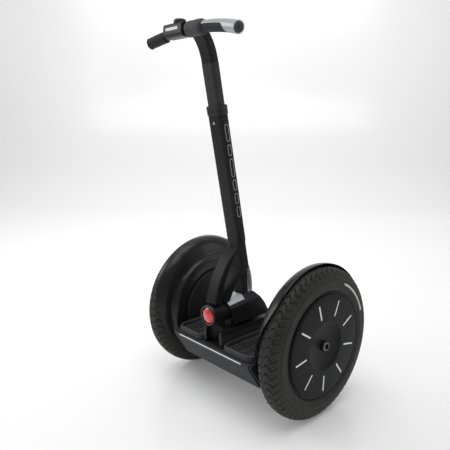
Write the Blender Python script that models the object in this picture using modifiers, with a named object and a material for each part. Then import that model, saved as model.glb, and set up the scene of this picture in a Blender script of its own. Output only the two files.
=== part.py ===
"""Two-wheel self-balancing personal transporter with a lean-to-steer column.

Frame: origin on the floor under the middle of the whole, -Y forward, +X to the rider's left, +Z up.
Every length is in metres. Pieces are laid out from the axle, and the last lines move them all onto the origin.
"""

from math import atan2, cos, hypot, pi, radians, sin, tan

import bmesh
import bpy
from mathutils import Matrix, Vector

# ---------------------------------------------------------------- driving dimensions

GAP = 0.0003                # air left between two pieces that touch
RUN = 0.0004                # radial clearance of a shaft that turns or slides

TYRE_R = 0.2415             # 19 inch tyre
TYRE_HALF_W = 0.038
AXLE_BEHIND = 0.0161        # axle behind the middle of the whole
TRACK_HALF = 0.270          # middle of the tread from the middle of the vehicle
RIM_R = 0.1669
RIM_HALF_W = 0.030
AXLE_R = 0.011

MOTOR_DROP = 0.082          # motor shaft below the axle
MOTOR_Y = -0.060            # and ahead of it, -Y being forward
MOTOR_R, MOTOR_L = 0.030, 0.092
GEAR_TEETH = 50
PINION_TEETH = 10

DECK_TOP = 0.199
DECK_HALF_W = 0.1872
DECK_FRONT = -0.2085         # outer face of the front fascia
DECK_REAR = 0.170
DECK_BOTTOM = 0.107
PANEL_T = 0.004             # fascia and chassis wall

MAT_IN = 0.0455             # inner edge of a foot mat
MAT_T = 0.007
MAT_RIM = 0.022             # height of a mat's raised edge
MAT_RIM_W = 0.011

PIVOT_Z = 0.308             # lean axis above the floor
SHAFT_R = 0.0125
BARREL_R = 0.033
BARREL_FRONT = -0.205
BARREL_REAR = -0.040
LEAN_DEG = 11.5             # forward lean of the column
COLUMN_Y = -0.036           # where the column's axis meets the lean axis

TUBE_A, TUBE_B, TUBE_CORNER = 0.0300, 0.0190, 0.012      # lower tube, half width, half depth
STEM_A, STEM_B, STEM_CORNER = 0.0262, 0.0155, 0.010      # sliding stem
TUBE_WALL = 0.0024
TUBE_START, TUBE_END = 0.231, 0.640
STEM_START, STEM_END = 0.360, 0.790
COLLAR_L = 0.028

BAR_Y, BAR_Z = -0.248, 1.171
BAR_R = 0.0125
BAR_HALF = 0.180
GRIP_HALF = 0.191
GRIP_R = 0.0175
GRIP_IN = {1: 0.043, -1: 0.123}         # left and right, where the grips start
BAR_SWEEP, BAR_DROP = 0.019, 0.024

STAND_X, STAND_Y, STAND_Z = 0.152, -0.050, 0.0965
STAND_HALF = 0.016          # half the distance between its leg and the end of its foot
STAND_AHEAD = 0.018         # foot ahead of the hinge, so that weight holds it open
STAND_R = 0.006

# ---------------------------------------------------------------- scene, collections, materials

for old in list(bpy.data.objects):
    bpy.data.objects.remove(old, do_unlink=True)

parts = bpy.data.collections.new("balancing_transporter")
cutters = bpy.data.collections.new("cutters")
cutters.hide_render = True
bpy.context.scene.collection.children.link(parts)
bpy.context.scene.collection.children.link(cutters)


def paint(name, colour, roughness, metallic=0.0):
    """One Principled material."""
    made = bpy.data.materials.new(name)
    made.use_nodes = True
    shader = made.node_tree.nodes["Principled BSDF"]
    shader.inputs["Base Color"].default_value = (*colour, 1.0)
    shader.inputs["Roughness"].default_value = roughness
    shader.inputs["Metallic"].default_value = metallic
    return made


BLACK_PLASTIC = paint("black_plastic", (0.018, 0.018, 0.020), 0.45)
GREY_PLASTIC = paint("grey_plastic", (0.055, 0.055, 0.060), 0.55)
BLACK_PAINT = paint("black_paint", (0.012, 0.012, 0.013), 0.35, 0.1)
TYRE_RUBBER = paint("tyre_rubber", (0.022, 0.021, 0.020), 0.85)
MAT_RUBBER = paint("mat_rubber", (0.026, 0.026, 0.028), 0.75)
GRIP_RUBBER = paint("grip_rubber", (0.020, 0.020, 0.022), 0.70)
STEEL = paint("steel", (0.48, 0.48, 0.50), 0.30, 1.0)
SILVER = paint("silver_trim", (0.60, 0.60, 0.62), 0.28, 1.0)
RED_LENS = paint("red_lens", (0.62, 0.02, 0.02), 0.15)
PALE_PANEL = paint("pale_panel", (0.72, 0.73, 0.75), 0.20)
BOARD_GREEN = paint("board_green", (0.02, 0.16, 0.08), 0.50)
BATTERY_GREY = paint("battery_grey", (0.08, 0.08, 0.09), 0.60)


# ---------------------------------------------------------------- shape tools

def keep(name, mesh, finish):
    """A visible object of the model."""
    piece = bpy.data.objects.new(name, mesh)
    parts.objects.link(piece)
    if finish is not None:
        mesh.materials.clear()
        mesh.materials.append(finish)
    return piece


def as_cutter(piece):
    """Moves an object out of the model, so that it only cuts or joins."""
    parts.objects.unlink(piece)
    cutters.objects.link(piece)
    piece.hide_render = True
    piece.display_type = "WIRE"
    return piece


def combine(piece, other, operation):
    """Cuts, joins or meets a piece with another object by an exact Boolean."""
    as_cutter(other)
    step = piece.modifiers.new(operation.lower(), "BOOLEAN")
    step.operation = operation
    step.solver = "EXACT"
    step.object = other
    return piece


def smooth(mesh, degrees=35):
    mesh.shade_smooth()
    mesh.set_sharp_from_angle(angle=radians(degrees))


def turned(name, profile, finish, place, turn=(0, 0, 0), steps=40, sweep=2 * pi, start=0.0, ring=True, wall=0.0):
    """A turned piece: the profile's (radius, height) pairs swept about local Z.

    A ring's profile is a closed loop, a solid's starts and ends on the axis, and with a wall the
    profile is an open line that Solidify thickens.
    """
    mesh = bpy.data.meshes.new(name)
    points = [(r * cos(start), r * sin(start), h) for r, h in profile]
    edges = [(i, i + 1) for i in range(len(points) - 1)]
    if ring and not wall:
        edges.append((len(points) - 1, 0))
    mesh.from_pydata(points, edges, [])
    piece = keep(name, mesh, finish)
    screw = piece.modifiers.new("screw", "SCREW")
    screw.axis = "Z"
    screw.angle = sweep
    screw.steps = steps
    screw.render_steps = steps
    screw.use_merge_vertices = sweep > 6.28
    screw.merge_threshold = 0.0001
    screw.use_smooth_shade = True
    if wall:
        skin = piece.modifiers.new("wall", "SOLIDIFY")
        skin.thickness = wall
        skin.offset = 0
    piece.location = place
    piece.rotation_euler = turn
    return piece


def box(name, size, place, finish, bevel=0.0, turn=(0, 0, 0)):
    """A block, with its edges rounded where bevel is given."""
    mesh = bpy.data.meshes.new(name)
    bm = bmesh.new()
    bmesh.ops.create_cube(bm, size=1.0)
    bmesh.ops.scale(bm, vec=size, verts=bm.verts)
    bm.to_mesh(mesh)
    bm.free()
    piece = keep(name, mesh, finish)
    piece.location = place
    piece.rotation_euler = turn
    if bevel:
        round_edges(piece, bevel)
    return piece


def round_edges(piece, width, segments=2, angle=40):
    bevel = piece.modifiers.new("rounding", "BEVEL")
    bevel.width = width
    bevel.segments = segments
    bevel.limit_method = "ANGLE"
    bevel.angle_limit = radians(angle)
    smooth(piece.data)


def filleted(corners, radius, steps=3):
    """A closed outline whose corners are arcs; radius is one value or one for each corner."""
    count = len(corners)
    radii = radius if isinstance(radius, (list, tuple)) else [radius] * count
    out = []
    for i, (x, y) in enumerate(corners):
        before = Vector(corners[i - 1]) - Vector((x, y))
        after = Vector(corners[(i + 1) % count]) - Vector((x, y))
        half = before.angle(after) / 2
        reach = radii[i] / tan(half) if radii[i] else 0.0
        if reach < 1e-6:
            out.append((x, y))
            continue
        first = Vector((x, y)) + before.normalized() * reach
        last = Vector((x, y)) + after.normalized() * reach
        centre = Vector((x, y)) + (before.normalized() + after.normalized()).normalized() * (radii[i] / sin(half))
        a0 = atan2(first.y - centre.y, first.x - centre.x)
        swing = (atan2(last.y - centre.y, last.x - centre.x) - a0 + pi) % (2 * pi) - pi
        for k in range(steps + 1):
            angle = a0 + swing * k / steps
            out.append((centre.x + radii[i] * cos(angle), centre.y + radii[i] * sin(angle)))
    return out


def rectangle(x0, y0, x1, y1):
    return [(x0, y0), (x1, y0), (x1, y1), (x0, y1)]


def mesh_from_curve(curve_object, name, finish):
    """Turns a curve into a welded mesh that Booleans and bevels can work on."""
    bpy.context.view_layer.update()
    ready = curve_object.evaluated_get(bpy.context.evaluated_depsgraph_get())
    mesh = bpy.data.meshes.new_from_object(ready)
    bm = bmesh.new()
    bm.from_mesh(mesh)
    bmesh.ops.remove_doubles(bm, verts=bm.verts, dist=0.00001)
    bmesh.ops.recalc_face_normals(bm, faces=bm.faces)
    bm.to_mesh(mesh)
    bm.free()
    piece = keep(name, mesh, finish)
    piece.matrix_world = curve_object.matrix_world
    bpy.data.objects.remove(curve_object)
    return piece


def plate(name, loops, thickness, finish, place=(0, 0, 0), turn=(0, 0, 0)):
    """A flat outline, with holes for the loops after the first, thickened both ways along local Z."""
    curve = bpy.data.curves.new(name, "CURVE")
    curve.dimensions = "2D"
    curve.fill_mode = "BOTH"
    curve.extrude = thickness / 2
    for loop in loops:
        spline = curve.splines.new("POLY")
        spline.points.add(len(loop) - 1)
        for point, (x, y) in zip(spline.points, loop):
            point.co = (x, y, 0, 1)
        spline.use_cyclic_u = True
    holder = bpy.data.objects.new(name + "_curve", curve)
    parts.objects.link(holder)
    holder.location = place
    holder.rotation_euler = turn
    return mesh_from_curve(holder, name, finish)


SIDE_VIEW = (pi / 2, 0, pi / 2)         # outline drawn as (y, z), thickened along X


def rod(name, points, radius, finish, sides=2, capped=True):
    """A round bar or tube along a list of points."""
    curve = bpy.data.curves.new(name, "CURVE")
    curve.dimensions = "3D"
    curve.bevel_depth = radius
    curve.bevel_resolution = sides
    curve.use_fill_caps = capped
    spline = curve.splines.new("POLY")
    spline.points.add(len(points) - 1)
    for point, place in zip(spline.points, points):
        point.co = (*place, 1)
    holder = bpy.data.objects.new(name + "_curve", curve)
    parts.objects.link(holder)
    return mesh_from_curve(holder, name, finish)


# ---------------------------------------------------------------- wheels, axles and drive, one set a side

AXLE = (0, 0, TYRE_R)
WHEEL_STEPS = 40
HALF_STEP = pi / WHEEL_STEPS            # puts a flat of the tread on the floor
TREAD = [(0.0000, 0.0000), (0.0228, 0.0068), (0.0318, 0.0185), (0.0380, 0.0450)]  # (out, down from the crown)


def tyre_profile():
    """A tyre's section: crown, shoulders, side walls and beads, open towards the rim."""
    wall = 0.0065
    bead = RIM_R + GAP
    scale = TYRE_HALF_W / 0.038
    crown = TYRE_R / cos(HALF_STEP)     # corners stand out, so that the flats run at TYRE_R
    outer = [(crown - d, w * scale) for w, d in TREAD] + [(bead, RIM_HALF_W)]
    inner = [(crown - d - wall * (1 if w < 0.02 else 0.55), w * scale - wall * min(1, w / 0.03)) for w, d in TREAD]
    inner += [(bead, RIM_HALF_W - wall)]
    down = [(r, TRACK_HALF + w) for r, w in reversed(outer)] + [(r, TRACK_HALF - w) for r, w in outer[1:]]
    up = [(r, TRACK_HALF - w) for r, w in reversed(inner)] + [(r, TRACK_HALF + w) for r, w in inner[1:]]
    return down + up


RIM_IN, RIM_OUT = TRACK_HALF - RIM_HALF_W, TRACK_HALF + RIM_HALF_W
BOSS_R, BOSS_IN, BOSS_OUT = 0.030, TRACK_HALF - 0.022, TRACK_HALF + 0.024
WEB_IN, WEB_OUT = TRACK_HALF - 0.008, TRACK_HALF + 0.002
BORE_R = AXLE_R + RUN
FLANGE_R = RIM_R - 0.0069
RIM_PROFILE = [
    (RIM_R, RIM_OUT), (RIM_R, RIM_IN), (FLANGE_R, RIM_IN), (FLANGE_R, WEB_IN), (BOSS_R, WEB_IN),
    (BOSS_R, BOSS_IN), (BORE_R, BOSS_IN), (BORE_R, BOSS_OUT), (BOSS_R, BOSS_OUT), (BOSS_R, WEB_OUT),
    (FLANGE_R, WEB_OUT), (FLANGE_R, RIM_OUT)]

CAP_R = RIM_R - 0.0014
CAP_FOOT = RIM_OUT + GAP
CAP_FACE = CAP_FOOT + 0.0102
DISH_R, DISH_DEPTH, CAP_HOLE_R, CAP_T = 0.078, 0.011, 0.0156, 0.003
CAP_PROFILE = [
    (CAP_R - 0.0055, CAP_FACE - 0.0020), (CAP_R, CAP_FACE - 0.0060), (CAP_R, CAP_FOOT),
    (CAP_R - 0.0075, CAP_FOOT), (CAP_R - 0.0080, CAP_FACE - 0.0020 - CAP_T), (DISH_R, CAP_FACE - CAP_T),
    (DISH_R - 0.009, CAP_FACE - CAP_T - 0.003), (0.040, CAP_FACE - CAP_T - 0.0085),
    (CAP_HOLE_R, CAP_FACE - CAP_T - DISH_DEPTH), (CAP_HOLE_R, CAP_FACE - DISH_DEPTH),
    (0.040, CAP_FACE - 0.0085), (DISH_R - 0.009, CAP_FACE - 0.003), (DISH_R, CAP_FACE)]

BAR_COUNT, BAR_FROM, BAR_TO, BAR_W = 9, 0.096, 0.146, 0.0055
TRIM_BACK = CAP_FACE - CAP_T - 0.0062
TRIM_RING_T = 0.0030
TRIM_FACE = CAP_FACE + 0.0006

GEAR_MODULE = 2 * hypot(MOTOR_DROP, MOTOR_Y) / (GEAR_TEETH + PINION_TEETH)
CASE_IN = DECK_HALF_W + 0.0008
CASE_R, CASE_DEPTH, CASE_WALL = 0.136, 0.0317, 0.004
CASE_OUT = CASE_IN + CASE_DEPTH
GEAR_IN, GEAR_OUT = CASE_IN + 0.012, CASE_IN + 0.024
CASE_PROFILE = [
    (0, CASE_IN + CASE_WALL), (CASE_R - CASE_WALL, CASE_IN + CASE_WALL), (CASE_R - CASE_WALL, CASE_OUT),
    (CASE_R, CASE_OUT), (CASE_R, CASE_IN), (0, CASE_IN)]

FENDER_WALL = 0.003
FENDER_RIM_R = TYRE_R + 0.0095
FENDER_HOLE_R = CASE_R + 0.0035
FENDER_PROFILE = [
    (FENDER_HOLE_R, CASE_IN + 0.010), (0.172, CASE_IN + 0.010), (0.1855, CASE_IN + 0.0165),
    (0.1915, CASE_OUT - 0.001), (0.2150, CASE_OUT + 0.0025), (0.2360, CASE_OUT + 0.0105),
    (0.2475, CASE_OUT + 0.0235), (FENDER_RIM_R, CASE_OUT + 0.0385)]
FENDER_BELOW = radians(20)


def gear(name, teeth, depth_in, depth_out, bore, finish, phase):
    """A spur gear whose teeth are cut thin enough to run without touching."""
    pitch_r = GEAR_MODULE * teeth / 2
    tip_r, root_r = pitch_r + 0.80 * GEAR_MODULE, pitch_r - 1.15 * GEAR_MODULE
    step = 2 * pi / teeth
    outline = []
    for i in range(teeth):
        middle = phase + i * step
        for share, radius in ((-0.30, root_r), (-0.11, tip_r), (0.11, tip_r), (0.30, root_r)):
            angle = middle + share * step
            outline.append((radius * cos(angle), radius * sin(angle)))
    loops = [outline]
    if bore:
        loops.append([(bore * cos(k * pi / 12), bore * sin(k * pi / 12)) for k in range(24)])
    return plate(name, loops, depth_out - depth_in, finish)


def aim_out(side):
    """Turns local Z to point out along the axle on this side."""
    return (0, side * pi / 2, 0)


def on_side(piece, side, place, out):
    """Stands a flat piece on the axle line, its local Z pointing out."""
    piece.matrix_world = Matrix.Translation(place) @ Matrix.Rotation(side * pi / 2, 4, "Y") @ \
        Matrix.Translation((0, 0, out))


def build_side(side, tag):
    out = aim_out(side)
    wheel_turn = Matrix.Rotation(side * HALF_STEP, 4, "X") @ Matrix.Rotation(side * pi / 2, 4, "Y")
    tyre = turned(tag + "_tyre", tyre_profile(), TYRE_RUBBER, AXLE, steps=WHEEL_STEPS)
    tyre.matrix_world = Matrix.Translation(AXLE) @ wheel_turn
    rim = turned(tag + "_rim", RIM_PROFILE, GREY_PLASTIC, AXLE, steps=WHEEL_STEPS)
    rim.matrix_world = tyre.matrix_world

    cap = turned(tag + "_hub_cap", CAP_PROFILE, BLACK_PLASTIC, AXLE, out, steps=WHEEL_STEPS)
    slots = spokes(tag + "_slots", BAR_W + 2 * GAP, BAR_FROM - GAP, BAR_TO + GAP, TRIM_BACK, CAP_FACE + 0.01, side)
    combine(cap, slots, "DIFFERENCE")
    ring_profile = [(BAR_TO + 0.006, TRIM_BACK + TRIM_RING_T), (BAR_TO + 0.006, TRIM_BACK),
                    (BAR_FROM - 0.006, TRIM_BACK), (BAR_FROM - 0.006, TRIM_BACK + TRIM_RING_T)]
    trim = turned(tag + "_cap_trim", ring_profile, SILVER, AXLE, out, steps=36)
    bars = spokes(tag + "_bars", BAR_W, BAR_FROM, BAR_TO, TRIM_BACK + TRIM_RING_T / 2, TRIM_FACE, side)
    combine(trim, bars, "UNION")

    shaft_in, shaft_out = CASE_IN + CASE_WALL + 0.004, BOSS_OUT - 0.0006
    turned(tag + "_output_shaft", [(0, shaft_out), (AXLE_R, shaft_out), (AXLE_R, shaft_in), (0, shaft_in)],
           STEEL, AXLE, out, steps=32, ring=False)
    nut_in, nut_out, nut_r, socket_r = BOSS_OUT + GAP, CAP_FACE + 0.003, 0.0145, 0.0065
    turned(tag + "_axle_nut", [(0, nut_out - 0.007), (socket_r, nut_out - 0.007), (socket_r, nut_out),
                               (nut_r - 0.0035, nut_out), (nut_r, nut_out - 0.003), (nut_r, nut_in), (0, nut_in)],
           STEEL, AXLE, out, steps=32, ring=False)

    big = gear(tag + "_output_gear", GEAR_TEETH, GEAR_IN, GEAR_OUT, AXLE_R + RUN, STEEL, 0)
    on_side(big, side, AXLE, (GEAR_IN + GEAR_OUT) / 2)

    case = turned(tag + "_gearbox_case", CASE_PROFILE, BLACK_PAINT, AXLE, out, steps=WHEEL_STEPS, ring=False)
    hole = turned(tag + "_motor_hole", [(0, 0.02), (0.0065, 0.02), (0.0065, -0.02), (0, -0.02)], None,
                  (side * CASE_IN, MOTOR_Y, TYRE_R - MOTOR_DROP), out, steps=24, ring=False)
    combine(case, hole, "DIFFERENCE")
    lid_in, lid_t = CASE_OUT + GAP, 0.004
    turned(tag + "_gearbox_lid", [(CASE_R, lid_in + lid_t), (CASE_R, lid_in), (BORE_R, lid_in), (BORE_R, lid_in + 0.010),
                                  (0.026, lid_in + 0.010), (0.026, lid_in + lid_t)],
           BLACK_PAINT, AXLE, out, steps=WHEEL_STEPS)

    arc_start = pi / 2 - FENDER_BELOW if side > 0 else -pi / 2 - FENDER_BELOW
    turned(tag + "_fender", FENDER_PROFILE, BLACK_PLASTIC, AXLE, out, steps=28,
           sweep=pi + 2 * FENDER_BELOW, start=arc_start, wall=FENDER_WALL)

    motor_axis = (0, MOTOR_Y, TYRE_R - MOTOR_DROP)
    motor_out = CASE_IN - 0.0035
    turned(tag + "_motor", [(0, motor_out - 0.012), (0.0085, motor_out - 0.012), (0.0085, motor_out),
                            (MOTOR_R - 0.003, motor_out), (MOTOR_R, motor_out - 0.003),
                            (MOTOR_R, motor_out - MOTOR_L), (0, motor_out - MOTOR_L)],
           STEEL, motor_axis, out, steps=32, ring=False)
    pinion = gear(tag + "_motor_pinion", PINION_TEETH, GEAR_IN, GEAR_OUT, 0, STEEL, pinion_phase(side))
    on_side(pinion, side, motor_axis, (GEAR_IN + GEAR_OUT) / 2)
    spindle_in = motor_out - 0.010
    spindle = turned(tag + "_spindle", [(0, GEAR_IN + 0.002), (0.005, GEAR_IN + 0.002), (0.005, spindle_in),
                                        (0, spindle_in)], None, motor_axis, out, steps=24, ring=False)
    combine(pinion, spindle, "UNION")


def pinion_phase(side):
    """Turns the pinion so that one of its gaps faces a tooth of the big gear at rest."""
    toward = pinion_bearing(side)
    tooth = round(toward / (2 * pi / GEAR_TEETH)) * (2 * pi / GEAR_TEETH)
    miss = (toward - tooth) * GEAR_TEETH / PINION_TEETH
    return toward + pi + miss + pi / PINION_TEETH


def pinion_bearing(side):
    """The direction from the axle to the motor shaft in the gears' own plane."""
    flat = Matrix.Rotation(side * pi / 2, 4, "Y").inverted() @ Vector((0, MOTOR_Y, -MOTOR_DROP))
    return atan2(flat.y, flat.x)


def spokes(name, width, r0, r1, h0, h1, side):
    """A ring of radial blocks on the axle line."""
    mesh = bpy.data.meshes.new(name)
    bm = bmesh.new()
    for i in range(BAR_COUNT):
        turn = Matrix.Rotation(2 * pi * i / BAR_COUNT + radians(4), 4, "Z")
        place = turn @ Matrix.Translation(((r0 + r1) / 2, 0, (h0 + h1) / 2))
        bmesh.ops.create_cube(bm, size=1.0, matrix=place @ Matrix.Diagonal((r1 - r0, width, h1 - h0, 1)))
    bm.to_mesh(mesh)
    bm.free()
    piece = keep(name, mesh, SILVER)
    piece.matrix_world = Matrix.Translation(AXLE) @ Matrix.Rotation(side * pi / 2, 4, "Y")
    return piece


build_side(1, "left")
build_side(-1, "right")

# ---------------------------------------------------------------- chassis, fascias, batteries and boards

SLOPE_TOP = 0.190           # a fascia is upright above this height
FRONT_FOOT = DECK_FRONT + 0.0555
REAR_FOOT = DECK_REAR - 0.0415


def body_loop(inset, low, high):
    """A closed side-view loop of the body between two heights."""
    front_low = FRONT_FOOT + inset
    rear_low = REAR_FOOT - inset
    return [(DECK_FRONT + inset, high), (DECK_FRONT + inset, SLOPE_TOP), (front_low, low), (rear_low, low),
            (DECK_REAR - inset, SLOPE_TOP), (DECK_REAR - inset, high)]


SKIN = PANEL_T + 0.0010
chassis = plate("chassis", [filleted(body_loop(SKIN, DECK_BOTTOM, DECK_TOP), [0, 0, 0.006, 0.006, 0, 0]),
                            body_loop(SKIN + PANEL_T * 1.4, DECK_BOTTOM + PANEL_T, DECK_TOP - PANEL_T)],
                2 * DECK_HALF_W, BLACK_PAINT, turn=SIDE_VIEW)


def fascia_loop(edge, foot, way):
    """A fascia's section: upright lip above, slanting panel below."""
    t = PANEL_T * way
    return [(edge, DECK_TOP + 0.0025), (edge, SLOPE_TOP), (foot, DECK_BOTTOM - 0.0025), (foot + t, DECK_BOTTOM - 0.0025),
            (edge + t, SLOPE_TOP), (edge + t, DECK_TOP + 0.0025)]


FASCIA_HALF_W = 0.180
plate("front_fascia", [fascia_loop(DECK_FRONT, FRONT_FOOT, 1)], 2 * FASCIA_HALF_W, GREY_PLASTIC, turn=SIDE_VIEW)
plate("rear_fascia", [fascia_loop(DECK_REAR, REAR_FOOT, -1)], 2 * FASCIA_HALF_W, GREY_PLASTIC, turn=SIDE_VIEW)
box("front_stripe", (0.300, 0.0014, 0.0040), (0, DECK_FRONT - GAP - 0.0007, 0.1958), SILVER)

PACK = (0.078, 0.190, 0.062)            # one battery pack
PACK_Y, PACK_ROOM = 0.010, 0.001
for side, tag in ((1, "left"), (-1, "right")):
    box(tag + "_battery", PACK, (side * (PACK[0] / 2 + PACK_ROOM), PACK_Y, DECK_BOTTOM + PANEL_T + PACK_ROOM + PACK[2] / 2),
        BATTERY_GREY, bevel=0.004)
box("control_board", (0.150, 0.110, 0.0025), (0, -0.090, 0.1895), BOARD_GREEN)
box("balance_sensor", (0.060, 0.050, 0.012), (0, 0.020, 0.1845), BLACK_PLASTIC, bevel=0.002)

# ---------------------------------------------------------------- foot mats and rider switches

MAT_OUT = DECK_HALF_W - 0.006
MAT_FRONT, MAT_REAR = DECK_FRONT + 0.010, DECK_REAR - 0.020
PLUNGER_X, PLUNGER_Y, PLUNGER_R, PLUNGER_TRAVEL = 0.115, -0.020, 0.009, 0.002


def mat(tag, side):
    """A rubber tray: raised rounded edge round a thin floor."""
    low, high = sorted((side * MAT_IN, side * MAT_OUT))
    wide = 0.030
    slim = wide - MAT_RIM_W
    around = filleted(rectangle(low, MAT_FRONT, high, MAT_REAR), wide, 5)
    inside = filleted(rectangle(low + MAT_RIM_W, MAT_FRONT + MAT_RIM_W, high - MAT_RIM_W, MAT_REAR - MAT_RIM_W), slim, 5)
    piece = plate(tag + "_mat", [around], MAT_RIM, MAT_RUBBER, place=(0, 0, DECK_TOP + GAP + MAT_RIM / 2))
    tray = plate(tag + "_tray", [inside], MAT_RIM, None, place=(0, 0, DECK_TOP + GAP + MAT_T + MAT_RIM / 2))
    return combine(piece, tray, "DIFFERENCE")


for side, tag in ((1, "left"), (-1, "right")):
    mat(tag, side)
    plunger_top = DECK_TOP - 0.0001
    turned(tag + "_rider_switch", [(0, plunger_top), (PLUNGER_R - 0.002, plunger_top), (PLUNGER_R - 0.002, plunger_top - 0.006),
                                   (PLUNGER_R, plunger_top - 0.006), (PLUNGER_R, plunger_top - 0.010), (0, plunger_top - 0.010)],
           BLACK_PLASTIC, (side * PLUNGER_X, PLUNGER_Y, 0), steps=24, ring=False)
    well = turned(tag + "_switch_well", [(0, DECK_TOP + 0.01), (PLUNGER_R + RUN, DECK_TOP + 0.01),
                                         (PLUNGER_R + RUN, DECK_TOP - 0.02), (0, DECK_TOP - 0.02)],
                  None, (side * PLUNGER_X, PLUNGER_Y, 0), steps=24, ring=False)
    combine(chassis, well, "DIFFERENCE")

# ---------------------------------------------------------------- console, lean shaft and its barrel

CONSOLE_HALF_W = MAT_IN - 0.0030
CONSOLE_TOP = 0.254
CONSOLE_FRONT, CONSOLE_REAR = -0.190, 0.120
NOTCH_HALF_W, NOTCH_REAR = 0.030, -0.160
POST_HALF_W = SHAFT_R + 0.003
POSTS = ((-0.122, -0.096), (-0.036, -0.013))

console = plate("console_base", [filleted([(CONSOLE_FRONT, DECK_TOP + GAP), (CONSOLE_REAR, DECK_TOP + GAP),
                                           (CONSOLE_REAR - 0.030, CONSOLE_TOP), (CONSOLE_FRONT, CONSOLE_TOP)],
                                          [0, 0, 0.015, 0.040], 4)],
                2 * CONSOLE_HALF_W, BLACK_PLASTIC, turn=SIDE_VIEW)
notch = plate("console_notch", [filleted(rectangle(-NOTCH_HALF_W, CONSOLE_FRONT - 0.05, NOTCH_HALF_W, NOTCH_REAR),
                                         [0, 0, 0.020, 0.020], 4)],
              0.2, None, place=(0, 0, CONSOLE_TOP))
combine(console, notch, "DIFFERENCE")
hollow = box("console_hollow", (2 * CONSOLE_HALF_W - 0.008, 0.210, 0.040), (0, -0.040, DECK_TOP + 0.020), None)
combine(console, hollow, "DIFFERENCE")
for number, (y0, y1) in enumerate(POSTS):
    top = PIVOT_Z + POST_HALF_W
    post = box("post_%d" % number, (2 * POST_HALF_W, y1 - y0, top - CONSOLE_TOP + 0.006),
               (0, (y0 + y1) / 2, (top + CONSOLE_TOP - 0.006) / 2), None)
    combine(console, post, "UNION")

AIM_FORWARD = (pi / 2, 0, 0)               # local Z points forward, along -Y
PIVOT = (0, 0, PIVOT_Z)


def along_pivot(name, pairs, finish, ring=False, steps=40):
    """A turned piece on the lean axis: pairs of (radius, y), its foremost point first."""
    return turned(name, [(r, -y) for r, y in pairs], finish, PIVOT, AIM_FORWARD, steps=steps, ring=ring)


SHAFT_FRONT, SHAFT_REAR = -0.185, -0.009
shaft_bore = along_pivot("post_bore", [(0, -0.3), (SHAFT_R + GAP, -0.3), (SHAFT_R + GAP, 0.3), (0, 0.3)], None, steps=32)
combine(console, shaft_bore, "DIFFERENCE")
along_pivot("pivot_shaft", [(0, SHAFT_FRONT), (SHAFT_R, SHAFT_FRONT), (SHAFT_R, SHAFT_REAR), (0, SHAFT_REAR)],
            STEEL, steps=32)

BARREL_BORE = SHAFT_R + 2 * RUN
BUSH_L, BARREL_ROOM = 0.016, BARREL_R - 0.006
SADDLE_CLEAR = 0.004                    # round the front post, inside the barrel
room_front, room_rear = POSTS[0][0] - 0.016, BARREL_REAR - BUSH_L
barrel = along_pivot("pivot_barrel", [(0, BARREL_FRONT), (BARREL_R, BARREL_FRONT), (BARREL_R, BARREL_REAR),
                                      (BARREL_BORE, BARREL_REAR), (BARREL_BORE, room_rear),
                                      (BARREL_ROOM, room_rear), (BARREL_ROOM, room_front),
                                      (BARREL_BORE, room_front), (BARREL_BORE, SHAFT_FRONT - 0.002),
                                      (0, SHAFT_FRONT - 0.002)], BLACK_PAINT)
saddle = box("barrel_saddle", (0.2, POSTS[0][1] - POSTS[0][0] + 2 * SADDLE_CLEAR, 0.2),
             (0, (POSTS[0][0] + POSTS[0][1]) / 2, PIVOT_Z + POST_HALF_W + SADDLE_CLEAR - 0.1), None)
combine(barrel, saddle, "DIFFERENCE")
bush_front, bush_rear = POSTS[0][1] + SADDLE_CLEAR, room_rear - 0.002
along_pivot("centring_bush", [(BARREL_ROOM - GAP, bush_front), (BARREL_ROOM - GAP, bush_rear),
                              (SHAFT_R + GAP, bush_rear), (SHAFT_R + GAP, bush_front)], MAT_RUBBER, ring=True)

LENS_SEAT = BARREL_FRONT - GAP
along_pivot("nose_reflector_ring", [(0.0305, LENS_SEAT - 0.008), (BARREL_R + 0.0012, LENS_SEAT - 0.005),
                               (BARREL_R + 0.0012, LENS_SEAT), (0.0265, LENS_SEAT), (0.0265, LENS_SEAT - 0.0075)],
            SILVER, ring=True)
along_pivot("nose_reflector_lens", [(0, LENS_SEAT - 0.0105), (0.014, LENS_SEAT - 0.0098), (0.023, LENS_SEAT - 0.0078),
                               (0.0262, LENS_SEAT - 0.0055), (0.0262, LENS_SEAT), (0, LENS_SEAT)], RED_LENS)

COVER_HALF_W, COVER_WALL = 0.041, 0.003
COVER_LOW = 0.266
COVER_NOSE, COVER_TOP_NOSE, COVER_TOP_REAR = -0.1285, 0.3470, 0.3560
COVER_OUTLINE = [(COVER_NOSE, COVER_LOW), (0.0380, COVER_LOW), (0.0140, 0.3080), (-0.0270, COVER_TOP_REAR),
                 (COVER_NOSE, COVER_TOP_NOSE)]
COVER_ROUND = [0, 0.006, 0.020, 0.014, 0.008]
cover = plate("pivot_cover", [filleted(COVER_OUTLINE, COVER_ROUND)], 2 * COVER_HALF_W, BLACK_PLASTIC, turn=SIDE_VIEW)
inner = [(y + dy, z + dz) for (y, z), (dy, dz) in zip(
    COVER_OUTLINE, ((COVER_WALL, -0.02), (-COVER_WALL * 1.3, -0.02), (-COVER_WALL * 1.3, -0.001),
                    (-COVER_WALL * 0.5, -COVER_WALL), (COVER_WALL, -COVER_WALL)))]
cover_room = plate("cover_room", [inner], 2 * (COVER_HALF_W - COVER_WALL), None, turn=SIDE_VIEW)
combine(cover, cover_room, "DIFFERENCE")
barrel_way = along_pivot("barrel_way", [(0, -0.3), (BARREL_R + GAP, -0.3), (BARREL_R + GAP, BARREL_REAR),
                                        (0, BARREL_REAR)], None)
combine(cover, barrel_way, "DIFFERENCE")

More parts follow.
